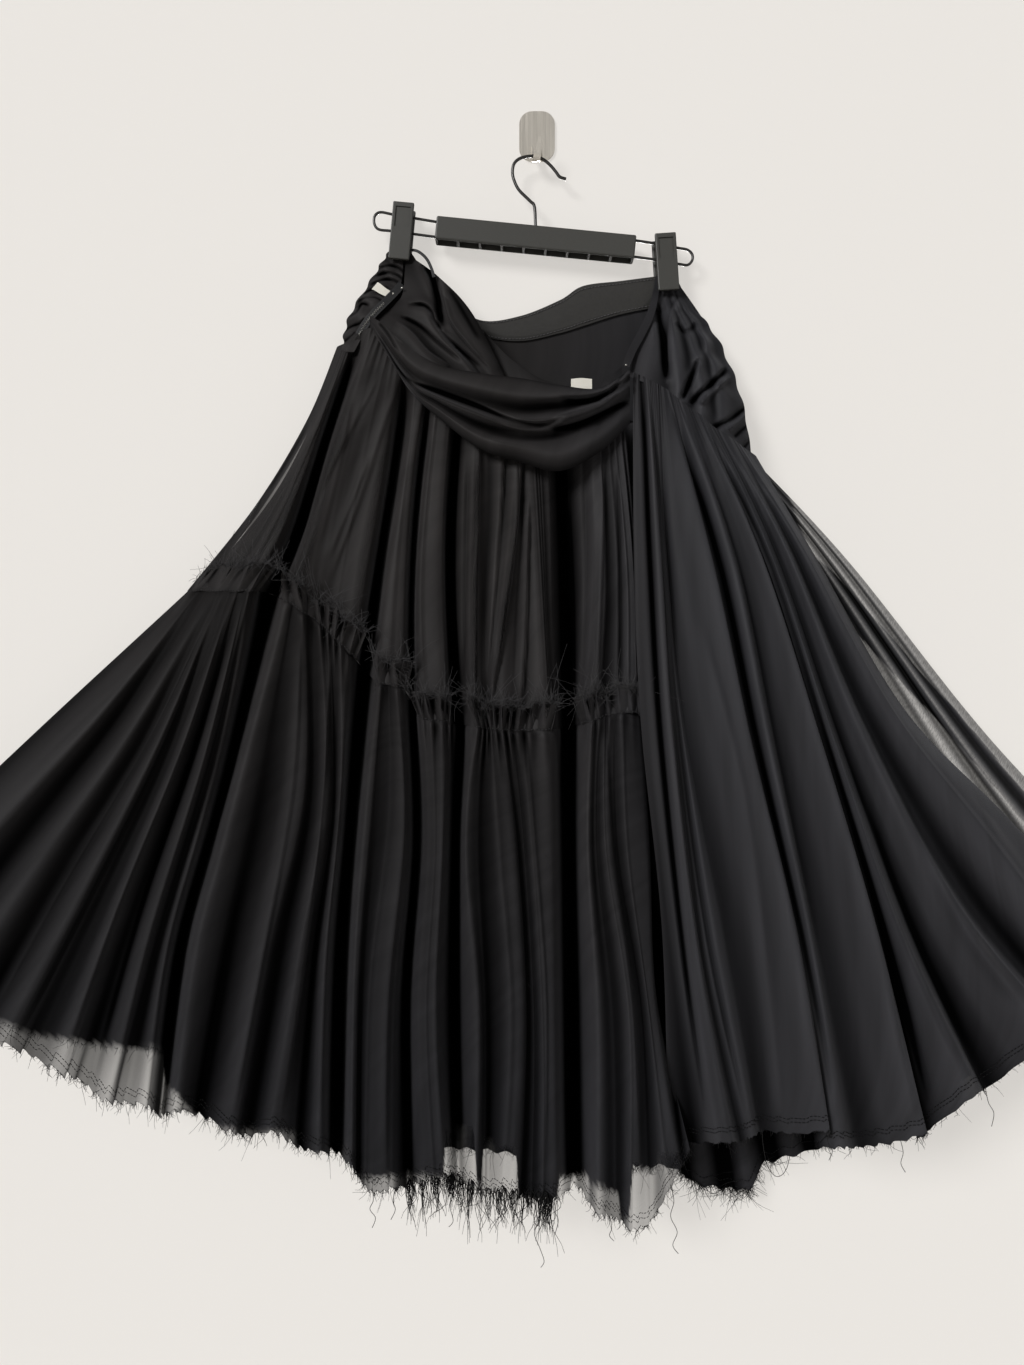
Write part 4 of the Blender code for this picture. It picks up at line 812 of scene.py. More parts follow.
def rise_of(points, reach, fall, both_ways):
    """How far each point stands above its surroundings, 0 in a deep fold and 1 on a crest."""
    depth = points[..., 2]
    level = depth
    for axis in (1, 0)[: 2 if both_ways else 1]:
        middle = np.take(points, points.shape[1 - axis] // 2, axis=1 - axis)
        spacing = np.median(np.linalg.norm(np.diff(middle[:, :2], axis=0), axis=-1))
        window = int(np.clip(reach / spacing, 2, points.shape[axis] // 3))
        level = np.moveaxis(soften(np.moveaxis(level, axis, -1), window), -1, axis)
    return np.clip(0.5 + (depth - level) / (2 * fall), 0, 1)


def normals_of(places):
    """Unit normals of a grid of places."""
    down, across = np.gradient(places, axis=0), np.gradient(places, axis=1)
    return unit(np.cross(down, across))


def run_lengths(places, axis):
    """Length in metres from the first row or column to each point of a grid."""
    steps = np.linalg.norm(np.diff(places, axis=axis), axis=-1)
    first = np.zeros_like(np.take(steps, [0], axis=axis))
    return np.cumsum(np.concatenate([first, steps], axis=axis), axis=axis)


def new_mesh(name, places, faces, material, smooth=True):
    """A mesh object in the scene."""
    mesh = bpy.data.meshes.new(name)
    mesh.from_pydata(np.asarray(places).reshape(-1, 3).tolist(), [], faces)
    mesh.materials.append(material)
    if smooth:
        mesh.shade_smooth()
    thing = bpy.data.objects.new(name, mesh)
    bpy.context.scene.collection.objects.link(thing)
    return thing


def dress(thing, slot, *nodes):
    """Fastens a piece to the frame, in place of the solids that it stands for."""
    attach(thing, "root")
    if nodes:
        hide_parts(*nodes)
    return thing


def panel(
    name, points, slot, material, nodes, layers=WHOLE, reach=16.0, fall=7.0, both_ways=False,
    dim=1.0, keep=None, fine=0.6,
):
    """A shell of cloth on sheet points. Layers says how many layers of chiffon lie there; a fold that
    lies "fall" below the cloth within "reach" of it gets painted shade down to black, and "dim" scales
    the painted shade and highlight further. With "keep", only these columns of faces are made."""
    places = on_sheet(points)
    rows, columns = places.shape[:2]
    index = np.arange(rows * columns).reshape(rows, columns)
    faces = np.stack([index[:-1, :-1], index[1:, :-1], index[1:, 1:], index[:-1, 1:]], axis=-1)
    faces = faces if keep is None else faces[:, keep]
    thing = new_mesh(name, places, faces.reshape(-1, 4).tolist(), material)
    facing = np.clip(np.abs(normals_of(places)[..., 1]), 0.3, 1.0)
    finer = rise_of(points, reach / 3, fall / 2.4, both_ways) - 0.5
    rise = np.clip(rise_of(points, reach, fall, both_ways) + fine * finer, 0, 1) * dim
    doubled = np.broadcast_to(layers, facing.shape) * (1.7 - 1.3 * rise)
    cover = 1.0 - sizes().sheer ** (doubled / facing)
    # The rise sets the painted fold shade of the chiffon's colour, sheen and gloss.
    for label, values in (("cover", cover), ("rise", rise)):
        attribute = thing.data.attributes.new(label, "FLOAT", "POINT")
        attribute.data.foreach_set("value", values.ravel().astype(np.float32))
    flat = np.stack([run_lengths(places, 1), -run_lengths(places, 0)], axis=-1).reshape(-1, 2)
    corner = np.zeros(len(thing.data.loops), np.int32)
    thing.data.loops.foreach_get("vertex_index", corner)
    layer = thing.data.uv_layers.new(name="Cloth")
    layer.data.foreach_set("uv", flat[corner].ravel().astype(np.float32))
    return dress(thing, slot, *nodes)


def tubes(name, lines, radii, sides, material):
    """Round tubes along lines of places, as one mesh. Radii has one value for each point of each line."""
    lines = np.asarray(lines, float)
    count, steps = lines.shape[:2]
    ahead = unit(np.gradient(lines, axis=1))
    helper = np.where(np.abs(ahead[..., 1:2]) < 0.9, (0.0, 1.0, 0.0), (1.0, 0.0, 0.0))
    right = unit(np.cross(ahead, helper))
    up = np.cross(right, ahead)
    turn = 2 * np.pi * np.arange(sides) / sides
    radii = np.broadcast_to(radii, (count, steps))[..., None, None]
    ring = right[..., None, :] * np.cos(turn)[:, None] + up[..., None, :] * np.sin(turn)[:, None]
    places = lines[..., None, :] + ring * radii
    index = np.arange(count * steps * sides).reshape(count, steps, sides)
    beside = np.roll(index, -1, axis=2)
    walls = np.stack([index[:, :-1], beside[:, :-1], beside[:, 1:], index[:, 1:]], axis=-1)
    faces = walls.reshape(-1, 4).tolist() + index[:, 0, ::-1].tolist() + index[:, -1].tolist()
    return new_mesh(name, places, faces, material)


def wire(name, line, diameter, steps, material):
    """A round wire along a smooth line of sides and drops, at the hanger's depth."""
    points = [(side, drop, HANGER_DEPTH) for side, drop in line]
    places = on_sheet(between(points, np.linspace(0, 1, steps + 1)))
    return tubes(name, places[None], diameter / 2 * MM, 16, material)


def strip_points(line, width, columns, rows):
    """Sheet points of a flat strap along a centre line."""
    v = np.linspace(0, 1, rows + 1)
    middle = between(line, v)
    ahead = between(line, np.minimum(v + 0.02, 1)) - between(line, np.maximum(v - 0.02, 0))
    level = unit(np.stack([-ahead[:, 1], ahead[:, 0]], axis=-1))
    level *= np.where(level[:, :1] < 0, -1.0, 1.0)
    wide = between(np.array(width, float)[:, None], v)
    offset = np.linspace(-0.5, 0.5, columns + 1)
    points = np.repeat(middle[:, None, :], columns + 1, axis=1)
    points[..., :2] += level[:, None, :] * (wide * offset)[..., None]
    return points


def new_node(tree, kind, **values):
    """A node of a material, with values for its named sockets."""
    node = tree.nodes.new(kind)
    for name, value in values.items():
        node.inputs[name.replace("_", " ")].default_value = value
    return node


def new_material(name, colour, roughness, metallic=0.0, specular=0.5):
    """A material, its node tree and its shader."""
    material = bpy.data.materials.new(name)
    material.use_nodes = True
    tree = material.node_tree
    shader = tree.nodes["Principled BSDF"]
    shader.inputs["Base Color"].default_value = (*colour, 1.0)
    shader.inputs["Roughness"].default_value = roughness
    shader.inputs["Metallic"].default_value = metallic
    shader.inputs["Specular IOR Level"].default_value = specular
    return material, tree, shader


def cloth_place(tree):
    """Where a point lies on the flat cloth, in metres."""
    place = tree.nodes.new("ShaderNodeUVMap")
    place.uv_map = "Cloth"
    return place.outputs["UV"]


def held_value(tree, name):
    """A value that a panel holds at its points."""
    held = tree.nodes.new("ShaderNodeAttribute")
    held.attribute_name = name
    return held.outputs["Fac"]


def ramp(tree, factor, stops):
    """A colour that runs through stops of place and colour as a factor grows."""
    node = tree.nodes.new("ShaderNodeValToRGB")
    elements = node.color_ramp.elements
    for place, colour in stops[1:-1]:
        elements.new(place).color = (*colour, 1.0)
    for end in (0, -1):
        elements[end].position = stops[end][0]
        elements[end].color = (*stops[end][1], 1.0)
    tree.links.new(factor, node.inputs["Fac"])
    return node.outputs["Color"]


def maths(tree, operation, first, second):
    """A Math node of two values or sockets; gives its result."""
    node = tree.nodes.new("ShaderNodeMath")
    node.operation = operation
    for socket, value in zip(node.inputs, (first, second)):
        if isinstance(value, (int, float)):
            socket.default_value = value
        else:
            tree.links.new(value, socket)
    return node.outputs[0]


def mottle(tree, shader, colour, spread, scale, vector=None):
    """Uneven colour: noise that runs from a darker to a lighter shade of one colour."""
    noise = new_node(tree, "ShaderNodeTexNoise", Scale=scale, Detail=4.0, Roughness=0.6)
    if vector:
        tree.links.new(vector, noise.inputs["Vector"])
    dark = [c * (1 - spread) for c in colour]
    light = [min(c * (1 + spread), 1.0) for c in colour]
    uneven = ramp(tree, noise.outputs["Fac"], ((0.3, dark), (0.7, light)))
    tree.links.new(uneven, shader.inputs["Base Color"])
    return noise


def bump(tree, shader, height, distance, strength=1.0):
    """Relief from a height socket, in metres."""
    node = new_node(tree, "ShaderNodeBump", Strength=strength, Distance=distance)
    tree.links.new(height, node.inputs["Height"])
    tree.links.new(node.outputs["Normal"], shader.inputs["Normal"])


def threads_across(tree, spacing, turned=0.0):
    """Two crossing sets of threads, from 0 in a gap to 1 on a thread, on the cloth's own sizes."""
    mapping = new_node(tree, "ShaderNodeMapping", Rotation=(0.0, 0.0, turned))
    tree.links.new(cloth_place(tree), mapping.inputs["Vector"])
    sets = []
    for direction in ("X", "Y"):
        wave = new_node(tree, "ShaderNodeTexWave", Scale=1.0 / (spacing * 3.183), Distortion=0.0)
        wave.bands_direction = direction
        tree.links.new(mapping.outputs["Vector"], wave.inputs["Vector"])
        sets.append(wave.outputs["Fac"])
    return maths(tree, "MAXIMUM", *sets)


@lru_cache(None)
def chiffon_material():
    """Black chiffon: a fine weave, a faint sheen and painted fold shade, see-through where layers are few.
    """
    colour = tuple(colours().chiffon)
    material, tree, shader = new_material("Chiffon", colour, 0.62)
    shader.inputs["Sheen Roughness"].default_value = 0.45
    shader.inputs["Sheen Tint"].default_value = (0.8, 0.8, 0.85, 1.0)
    painted_fold_shade(tree, shader, colour)
    weave = threads_across(tree, sizes().weave)
    bump(tree, shader, weave, 0.05 * MM, 0.5)
    see_through(tree, shader, weave, 0.22)
    return material


def painted_fold_shade(tree, shader, colour):
    """Painted shade deep in the folds and painted highlight near their crests, with streaks along them."""
    mapping = new_node(tree, "ShaderNodeMapping", Scale=(60.0, 3.5, 1.0))
    tree.links.new(cloth_place(tree), mapping.inputs["Vector"])
    mottle(tree, shader, colour, 0.2, 1.0, mapping.outputs["Vector"])
    streaked = shader.inputs["Base Color"].links[0].from_socket
    # Painted shade and highlight, from how far the cloth stands above its folds.
    shade = ramp(tree, held_value(tree, "rise"), [(place, (level,) * 3) for place, level in PAINTED_FOLD_SHADES])
    object_place = tree.nodes.new("ShaderNodeTexCoord")
    apart = tree.nodes.new("ShaderNodeSeparateXYZ")
    tree.links.new(object_place.outputs["Object"], apart.inputs["Vector"])
    up = maths(tree, "MULTIPLY", maths(tree, "ADD", apart.outputs["Z"], 0.95), 2.0)
    left = maths(tree, "MULTIPLY", maths(tree, "SUBTRACT", 0.14, apart.outputs["X"]), 6.0)
    tint = ramp(tree, maths(tree, "MINIMUM", up, left), ((0.0, COOL_TINT), (1.0, WARM_TINT)))
    side = ramp(tree, left, ((0.0, (1.0,) * 3), (1.0, (LEFT_SHADE,) * 3)))
    shading = multiplied(tree, shade, side)
    shaded = multiplied(tree, streaked, shading)
    tree.links.new(multiplied(tree, shaded, tint), shader.inputs["Base Color"])
    # The sheen and gloss are painted down with the same shading.
    tree.links.new(maths(tree, "MULTIPLY", shading, FOLD_SHEEN), shader.inputs["Sheen Weight"])
    tree.links.new(maths(tree, "MULTIPLY", shading, FOLD_GLOSS), shader.inputs["Specular IOR Level"])


def multiplied(tree, first, second):
    """The product of two colours."""
    mix = tree.nodes.new("ShaderNodeMix")
    mix.data_type = "RGBA"
    mix.blend_type = "MULTIPLY"
    mix.inputs["Factor"].default_value = 1.0
    tree.links.new(first, mix.inputs[6])
    tree.links.new(second, mix.inputs[7])
    return mix.outputs[2]


def see_through(tree, shader, weave, depth):
    """Lets the gaps of a weave through wherever its cover is less than whole."""
    cover = held_value(tree, "cover")
    open_share = maths(tree, "SUBTRACT", 1.0, cover)
    change = maths(tree, "MULTIPLY", maths(tree, "SUBTRACT", weave, 0.6), depth)
    total = maths(tree, "ADD", cover, maths(tree, "MULTIPLY", open_share, change))
    tree.links.new(total, shader.inputs["Alpha"])


@lru_cache(None)
def mesh_material():
    """The back's fine black mesh."""
    colour = tuple(colours().mesh)
    material, tree, shader = new_material("Mesh", colour, 0.7)
    # Painted shade in the mesh's folds and painted highlight near their crests, as on the chiffon.
    painted_fold_shade(tree, shader, colour)
    fine = threads_across(tree, sizes().mesh_gap, math.radians(40))
    speckle = new_node(tree, "ShaderNodeTexNoise", Scale=260.0, Detail=1.0)
    tree.links.new(cloth_place(tree), speckle.inputs["Vector"])
    net = maths(tree, "ADD", maths(tree, "MULTIPLY", fine, 0.5), speckle.outputs["Fac"])
    bump(tree, shader, net, 0.08 * MM, 0.5)
    see_through(tree, shader, net, 0.9)
    return material


@lru_cache(None)
def band_material():
    """The stiff mesh of the back's waist band, grey where the light comes through it."""
    colour = tuple(colours().band)
    material, tree, shader = new_material("Band mesh", colour, 0.75, specular=0.2)
    mottle(tree, shader, colour, 0.12, 30.0)
    net = threads_across(tree, 1.5 * MM, math.radians(30))
    bump(tree, shader, net, 0.1 * MM, 0.6)
    see_through(tree, shader, net, 0.8)
    return material


@lru_cache(None)
def thread_material(shade=0.5):
    """Loose threads and sewing thread, darker or lighter than the cloth; the heading's light fray is painted
    light.
    """
    colour = tuple(c * shade for c in colours().chiffon)
    material, tree, shader = new_material(f"Thread {shade}", colour, 0.7, specular=0.15)
    mottle(tree, shader, colour, 0.2, 300.0)
    return material


@lru_cache(None)
def zip_material():
    """Bright nickel of the zip's teeth."""
    colour = (0.4, 0.39, 0.36)
    material, tree, shader = new_material("Zip nickel", colour, 0.3, 0.8)
    mottle(tree, shader, colour, 0.1, 500.0)
    return material


@lru_cache(None)
def tape_material():
    """Woven tape with fine cross ribs."""
    colour = tuple(colours().tape)
    material, tree, shader = new_material("Tape", colour, 0.55)
    mottle(tree, shader, colour, 0.2, 200.0)
    bump(tree, shader, threads_across(tree, 0.7 * MM), 0.12 * MM)
    return material


@lru_cache(None)
def label_material():
    """Cream satin tape."""
    colour = tuple(colours().label)
    material, tree, shader = new_material("Label", colour, 0.42)
    shader.inputs["Sheen Weight"].default_value = 0.3
    mottle(tree, shader, colour, 0.06, 150.0)
    bump(tree, shader, threads_across(tree, 0.5 * MM), 0.06 * MM)
    return material


@lru_cache(None)
def plastic_material():
    """Dark grey moulded plastic with a fine satin grain."""
    colour = tuple(colours().plastic)
    material, tree, shader = new_material("Hanger plastic", colour, 0.48, specular=0.4)
    mottle(tree, shader, colour, 0.08, 60.0)
    grain = new_node(tree, "ShaderNodeTexNoise", Scale=2600.0, Detail=2.0)
    bump(tree, shader, grain.outputs["Fac"], 0.03 * MM, 0.6)
    return material


@lru_cache(None)
def steel_material():
    """Brushed steel of the wall hook, with lines that run up and down."""
    colour = tuple(colours().steel)
    material, tree, shader = new_material("Brushed steel", colour, 0.32, 0.7)
    place = tree.nodes.new("ShaderNodeTexCoord")
    mapping = new_node(tree, "ShaderNodeMapping", Scale=(900.0, 900.0, 14.0))
    tree.links.new(place.outputs["Object"], mapping.inputs["Vector"])
    brushed = mottle(tree, shader, colour, 0.07, 1.0, mapping.outputs["Vector"])
    rough = maths(tree, "MULTIPLY_ADD", brushed.outputs["Fac"], 0.25)
    rough.node.inputs[2].default_value = 0.22
    tree.links.new(rough, shader.inputs["Roughness"])
    bump(tree, shader, brushed.outputs["Fac"], 0.01 * MM, 0.5)
    return material


@lru_cache(None)
def wire_material():
    """Dark nickel of the hanger's wires and springs."""
    colour = tuple(colours().wire)
    material, tree, shader = new_material("Dark wire", colour, 0.34, 0.85)
    mottle(tree, shader, colour, 0.15, 400.0)
    grain = new_node(tree, "ShaderNodeTexNoise", Scale=1800.0, Detail=2.0)
    bump(tree, shader, grain.outputs["Fac"], 0.01 * MM, 0.4)
    return material


def upper_guides():
    """The upper tier's folds, each with its depths."""
    return fold_guides(UPPER_TIER, UPPER_FRONT, UPPER_GROWTH, BACK_DEPTH, TIER_LINE)


@lru_cache(None)
def upper_points():
    """The upper tier, with the gathers under the yokes and its creases."""
    points = fold_surface(upper_guides(), UPPER_GRID)
    near_swag = np.exp(-(((points[..., 0] - SWAG_TUCK_SIDE) / SWAG_TUCK_WIDTH) ** 2))
    points[..., 1] -= TUCK_UNDER_SWAG * near_swag * np.linspace(1, 0, len(points))[:, None] ** 12
    near_yoke = np.clip((YOKE_TUCK_SIDE - points[..., 0]) / YOKE_TUCK_WIDTH, 0, 1)
    near_yoke *= np.exp(-(points[..., 1] - points[:1, :, 1]) / YOKE_TUCK_DROP)
    points[..., 2] -= TUCK_UNDER_YOKE * near_yoke
    gather(points, 56, 0.6 * sizes().gather_height / MM, 22.0, 3)
    crimp(points, len(UPPER_TIER), UPPER_PLEATS, 40)
    press(points, UPPER_CREASES)
    return points


@lru_cache(None)
def lower_points():
    """The lower tier, gathered under the header, with its pleats."""
    seam = [guide[-1] for guide in upper_guides()[1:]]
    guides = fold_guides(LOWER_TIER, LOWER_FRONT, LOWER_GROWTH, BACK_DEPTH, seam, (0.0, 0.0))
    points = fold_surface(guides, LOWER_GRID)
    away = np.abs(points[..., 1] - points[:1, :, 1])
    puff = (1 - 0.8 * np.exp(-away / 5.0)) * np.exp(-away / 22.0)
    points[..., 2] += HEADER_STAND_OFF * puff * edge_fade(points.shape[1], 0.04)
    smooth = points[..., 2].copy()
    seam_side, seam_wave = header_waves()
    wave = np.interp(points[0, :, 0], seam_side, seam_wave) * edge_fade(points.shape[1])
    points[..., 2] += 3.0 * sizes().gather_height / MM * wave * np.exp(-away / 18.0)
    points[..., 2] -= (points[..., 2] - smooth) * 0.85 * np.exp(-away / 4.0)
    step_hem(points, HEM_STEP, 90, 81, 0.9)
    crimp(points, len(LOWER_TIER), LOWER_PLEATS, 80)
    press(points, LOWER_CREASES)
    return points


@lru_cache(None)
def header_waves():
    """Side and wave of each of the heading's columns at the seam."""
    seam = fold_surface(upper_guides(), SEAM_GRID)[-1, :, 0]
    folds = header_folds()
    sides = np.interp(folds / (len(UPPER_TIER) - 1), np.linspace(0, 1, len(seam)), seam)
    return sides, pleats(len(folds), HEADER_WAVES, 7)


def header_folds():
    """The upper tier's fold number at each column of the heading."""
    return np.linspace(HEADINGS[0].first, len(UPPER_TIER) - 1, HEADER_WAVES * COLUMNS_IN_A_WAVE + 1)


def bunches():
    """For each bunch of the heading, which of the columns it holds."""
    folds = header_folds()
    return [(folds >= heading.first) & (folds <= heading.last) for heading in HEADINGS]


@lru_cache(None)
def header_points():
    """The frayed heading above the ruffle's seam, from its top edge to the seam."""
    tier = fold_surface(upper_guides(), SEAM_GRID)
    folds = header_folds()
    columns = len(folds)
    at = folds / (len(UPPER_TIER) - 1) * (tier.shape[1] - 1)
    low = np.minimum(at.astype(int), tier.shape[1] - 2)
    share = (at - low)[:, None]
    edge, above = (tier[row, low] * (1 - share) + tier[row, low + 1] * share for row in (-1, -9))
    rise = (above - edge) * (HEADER_HEIGHT / np.maximum(np.abs(above[:, 1] - edge[:, 1]), 1.0))[:, None]
    wave = pleats(columns, HEADER_WAVES, 7)
    finer = pleats(columns, 2 * HEADER_WAVES, 17)
    uneven = 1.0 + 0.12 * pleats(columns, 23, 8) + 0.12 * wave + 0.10 * finer
    inside = np.clip(rise_of(np.stack([edge, edge]), 16.0, 9.0, False)[0] * 2.2, 0.35, 1)
    v = np.linspace(1, 0, HEADER_ROWS + 1)[:, None]
    points = edge[None] + rise[None] * (v * uneven * inside**0.5)[..., None]
    flare = HEADER_FLARE * v**1.4 + SEAM_CLEARANCE
    heights = HEADER_WAVE_HEIGHT * v**0.6 + SEAM_CLEARANCE
    points[..., 2] += flare * inside + heights * wave + FINE_WAVE_HEIGHT * v * finer
    points[..., 0] += (HEADER_SWAY * v * pleats(columns, HEADER_WAVES, 9)) * inside
    for heading, bunch in zip(HEADINGS, bunches()):
        t = np.linspace(0, 1, np.count_nonzero(bunch))
        points[:, bunch, 0] += v * (heading.right * t**2 - heading.left * (1 - t) ** 2)
        points[:, bunch, 1] -= v * HEADING_CORNER * (heading.left * (1 - t) ** 3 + heading.right * t**3)
    points[..., 1] += 1.0 + 1.4 * (1 - v) * wave
    return points


@lru_cache(None)
def overskirt_points():
    """The overskirt, gathered under the hip yoke."""
    hip_line = [(guide[-1][0], guide[-1][1] - LAP_HEIGHT, guide[-1][2]) for guide in HIP_YOKE[:-1]]
    guides = fold_guides(OVERSKIRT, OVERSKIRT_FRONT, OVERSKIRT_GROWTH, OVERSKIRT_BACK, hip_line)
    points = fold_surface(guides, OVERSKIRT_GRID)
    gather(points, 26, 1.0, 34.0, 11)
    crimp(points, len(OVERSKIRT), OVERSKIRT_PLEATS, 120)
    press(points, OVERSKIRT_CREASES)
    step_hem(points, 0.5 * HEM_STEP, 50, 121, 0.8)
    return points


@lru_cache(None)
def back_points():
    """The back skirt: even gathers that open towards the hem and lie flat at its two edges."""
    columns = BACK_PLEATS * BACK_COLUMNS_IN_A_PLEAT
    u, v = np.linspace(0, 1, columns + 1), np.linspace(0, 1, BACK_ROWS + 1)
    guides = [[(side, drop, 0.0) for side, drop in guide] for guide in BACK_GUIDES]
    points = surface(guides, columns, BACK_ROWS)
    middle, swing = (between(np.array(table, float)[:, None], v) for table in (BACK_MIDDLE, BACK_SWING))
    edge = np.clip(np.minimum(BACK_PLEATS / 2 * u, BACK_PLEATS / 2 * (1 - u)), 0, 1)
    uneven = 0.72 + 0.28 * np.sin(11.0 * u + 2.0 * v[:, None]) * np.sin(37.0 * u)
    points[..., 0] += 5.0 * np.sin(23.0 * u) * v[:, None] * edge
    points[..., 2] = middle - edge * uneven * swing * np.cos(2 * np.pi * BACK_PLEATS * u)
    points[..., 1] -= looked_up(BACK_HEM_LIFT, points[..., 0]) * v[:, None] ** 4
    points[..., 1] += 3.0 * v[:, None] ** 8 * pleats(columns + 1, 60, 15) * edge
    return points


@lru_cache(None)
def swag_points():
    """The cross swag's three rolled folds, with finer creases."""
    guides = [list(zip(SWAG_SIDES, drops, depths)) for name, depths, drops in SWAG_FOLDS]
    points = np.swapaxes(surface(guides, 96, 120), 0, 1)
    points = points[::-1].copy() if points[0, 0, 0] > points[-1, 0, 0] else points.copy()
    press(points, SWAG_CREASES)
    return points


def lining_layers(points, soft=4.0):
    """Layers of cloth at each point of the lower tier, many above its lining's edge and few below it."""
    edge, below = read_off(LINING_HEM, points[..., 0])
    step = (points[..., 1] - edge) / soft
    return WHOLE + (below - WHOLE) / (1 + np.exp(-np.clip(4 * step, -30, 30)))


def upper_layers(points):
    """The upper tier is sheer along its left side, left of the first valley, but for its very top."""
    layers = looked_up(UPPER_SHEER, np.linspace(0, len(UPPER_TIER) - 1, points.shape[1]))
    down = np.linspace(0, 1, len(points))[:, None]
    return layers + 3.0 * np.clip(1 - down * 4, 0, 1)


def overskirt_layers(points):
    """The overskirt is sheer along its right side, but for its top."""
    layers = looked_up(OVERSKIRT_SHEER, np.linspace(0, len(OVERSKIRT) - 1, points.shape[1]))
    down = np.linspace(0, 1, len(points))[:, None]
    return WHOLE + (layers - WHOLE) * np.clip(down * 2.2 - 0.6, 0, 1)


def back_layers(points):
    """Layers of mesh in the back skirt: doubled in a band right of the overskirt, single beside it."""
    side, drop = points[..., 0], points[..., 1]
    top, foot, gap = (looked_up(line, side) for line in (BAND_TOP, BAND_FOOT, GAP_FOOT))
    shown = np.select([drop >= gap, drop >= foot, drop >= top], [2.4, 0.75, 2.6], 0.9)
    return np.where((side > 748) & (drop < 1020), shown, 6.0)


class SKIRT_OT_tiers(bpy.types.Operator):
    """Builds the upper tier, the ruffle's heading and the lower tier"""

    bl_idname = "skirt.tiers"
    bl_label = "Front tiers"

    def execute(self, context):
        chiffon = chiffon_material()
        tier, heading, ruffle = upper_points(), header_points(), lower_points()
        # Painted light by fold scales the upper tier's painted fold shade.
        lit = looked_up(UPPER_LIGHT, np.linspace(0, len(UPPER_TIER) - 1, tier.shape[1]))
        upper = panel(
            "upper_tier_cloth", tier, "chiffon", chiffon, ["upper_tier"], upper_layers(tier),
            fall=10.5, fine=0.45, dim=lit,
        )
        bunched = np.any(bunches(), axis=0)
        # The heading gets painted light along its top edge and painted shade down at its seam.
        to_seam = np.linspace(0, 1, len(heading))[:, None]
        header = panel(
            "ruffle_heading", heading, "chiffon", chiffon, ["ruffle_header"], reach=9.0, fall=6.5,
            both_ways=True, dim=1.4 - 0.55 * to_seam**3, keep=bunched[:-1] & bunched[1:], fine=0.8,
        )
        away = np.abs(ruffle[..., 1] - ruffle[:1, :, 1])
        # The lower tier's painted fold shade is dimmed all over, and a little more as painted shade just
        # under the seam.
        lower = panel(
            "lower_tier_cloth", ruffle, "chiffon", chiffon, ["lower_tier"], lining_layers(ruffle), fall=12.5,
            dim=0.74 - 0.06 * np.exp(-away / 6.0), fine=0.4 + 1.1 * np.exp(-away / 22.0),
        )
        return {"FINISHED"}


class SKIRT_OT_overskirt(bpy.types.Operator):
    """Builds the pleated overskirt on the right"""

    bl_idname = "skirt.overskirt"
    bl_label = "Overskirt"

    def execute(self, context):
        points = overskirt_points()
        layers = overskirt_layers(points)
        over = panel(
            "overskirt_cloth", points, "chiffon", chiffon_material(), ["overskirt"], layers,
            fall=17.0, fine=0.8,
        )
        return {"FINISHED"}


class SKIRT_OT_back(bpy.types.Operator):
    """Builds the back skirt, the back yoke and the waist band"""

    bl_idname = "skirt.back"
    bl_label = "Back"

    def execute(self, context):
        points = back_points()
        shadow = 1 - 0.6 * np.clip((points[..., 1] - 1090) / 30, 0, 1) * (points[..., 0] > 660)
        skirt = panel(
            "back_mesh_skirt", points, "tulle", mesh_material(), ["back_skirt"], back_layers(points),
            dim=shadow,
        )
        yoke_points, band_points = surface(BACK_YOKE, 108, 40), surface(BACK_BAND, 140, 16)
        yoke = panel("back_yoke_cloth", yoke_points, "chiffon", chiffon_material(), ["back_yoke"])
        band = panel("back_band_mesh", band_points, "tulle", band_material(), ["back_waist_band"], 4.0)
        return {"FINISHED"}


class SKIRT_OT_waist(bpy.types.Operator):
    """Builds the yokes, the facing, the swag and the strip at the right clip"""

    bl_idname = "skirt.waist"
    bl_label = "Waist and swag"

    def execute(self, context):
        chiffon = chiffon_material()
        left = surface(LEFT_YOKE, 48, 110)
        u, v = np.linspace(0, 1, 49)[None, :], np.linspace(0, 1, 111)[:, None]
        swell = np.sin(np.pi * u) * np.clip(np.minimum(4 * v, 4 * (1 - v)), 0, 1)
        ripple = np.sin(2 * np.pi * (LEFT_WRINKLES * v + 0.6 * u))
        left[..., 2] += WRINKLE_DEPTH * swell * ripple
        left[..., 0] -= 1.5 * np.clip(2 * u - 0.4, 0, 1) * swell**0.3 * ripple
        press(left, LEFT_YOKE_CREASES)
        front = surface(FRONT_YOKE, 130, 110)
        press(front, YOKE_CREASES)
        hip = surface(HIP_YOKE, 160, 150)
        u, v = np.linspace(0, 1, hip.shape[1])[None, :], np.linspace(0, 1, hip.shape[0])[:, None]
        bumps = np.sin(2 * np.pi * HIP_BUMPS * v) * np.sin(np.pi * v)
        hip[..., 0] += HIP_BUMP_DEPTH * np.clip(2 * u - 1, 0, 1) * bumps
        press(hip, HIP_CREASES)
        strip = strip_points(WAIST_STRIP, (7, 8, 8, 8, 7, 6, 6), 8, 60)
        rows = (
            ("left_yoke_cloth", left, "left_yoke", (0.055, 0.09)),
            ("front_yoke_cloth", front, "front_yoke", (0.10, 0.125)),
            ("front_facing", surface(FRONT_WAIST, 96, 30), "front_waist", (0.14, 0.04)),
            ("hip_yoke_cloth", hip, "hip_yoke", (0.11, 0.18)),
            ("waist_strip_cloth", strip, "waist_strip", (0.01, 0.105)),
            ("swag_cloth", swag_points(), "swag", (0.29, 0.08)),
        )
        for name, points, node, flat in rows:
            fall = 11.0 if node == "hip_yoke" else 6.0
            cloth = panel(
                name, points, "chiffon", chiffon, [node], reach=11.0, fall=fall, both_ways=True, fine=0.45
            )
        return {"FINISHED"}


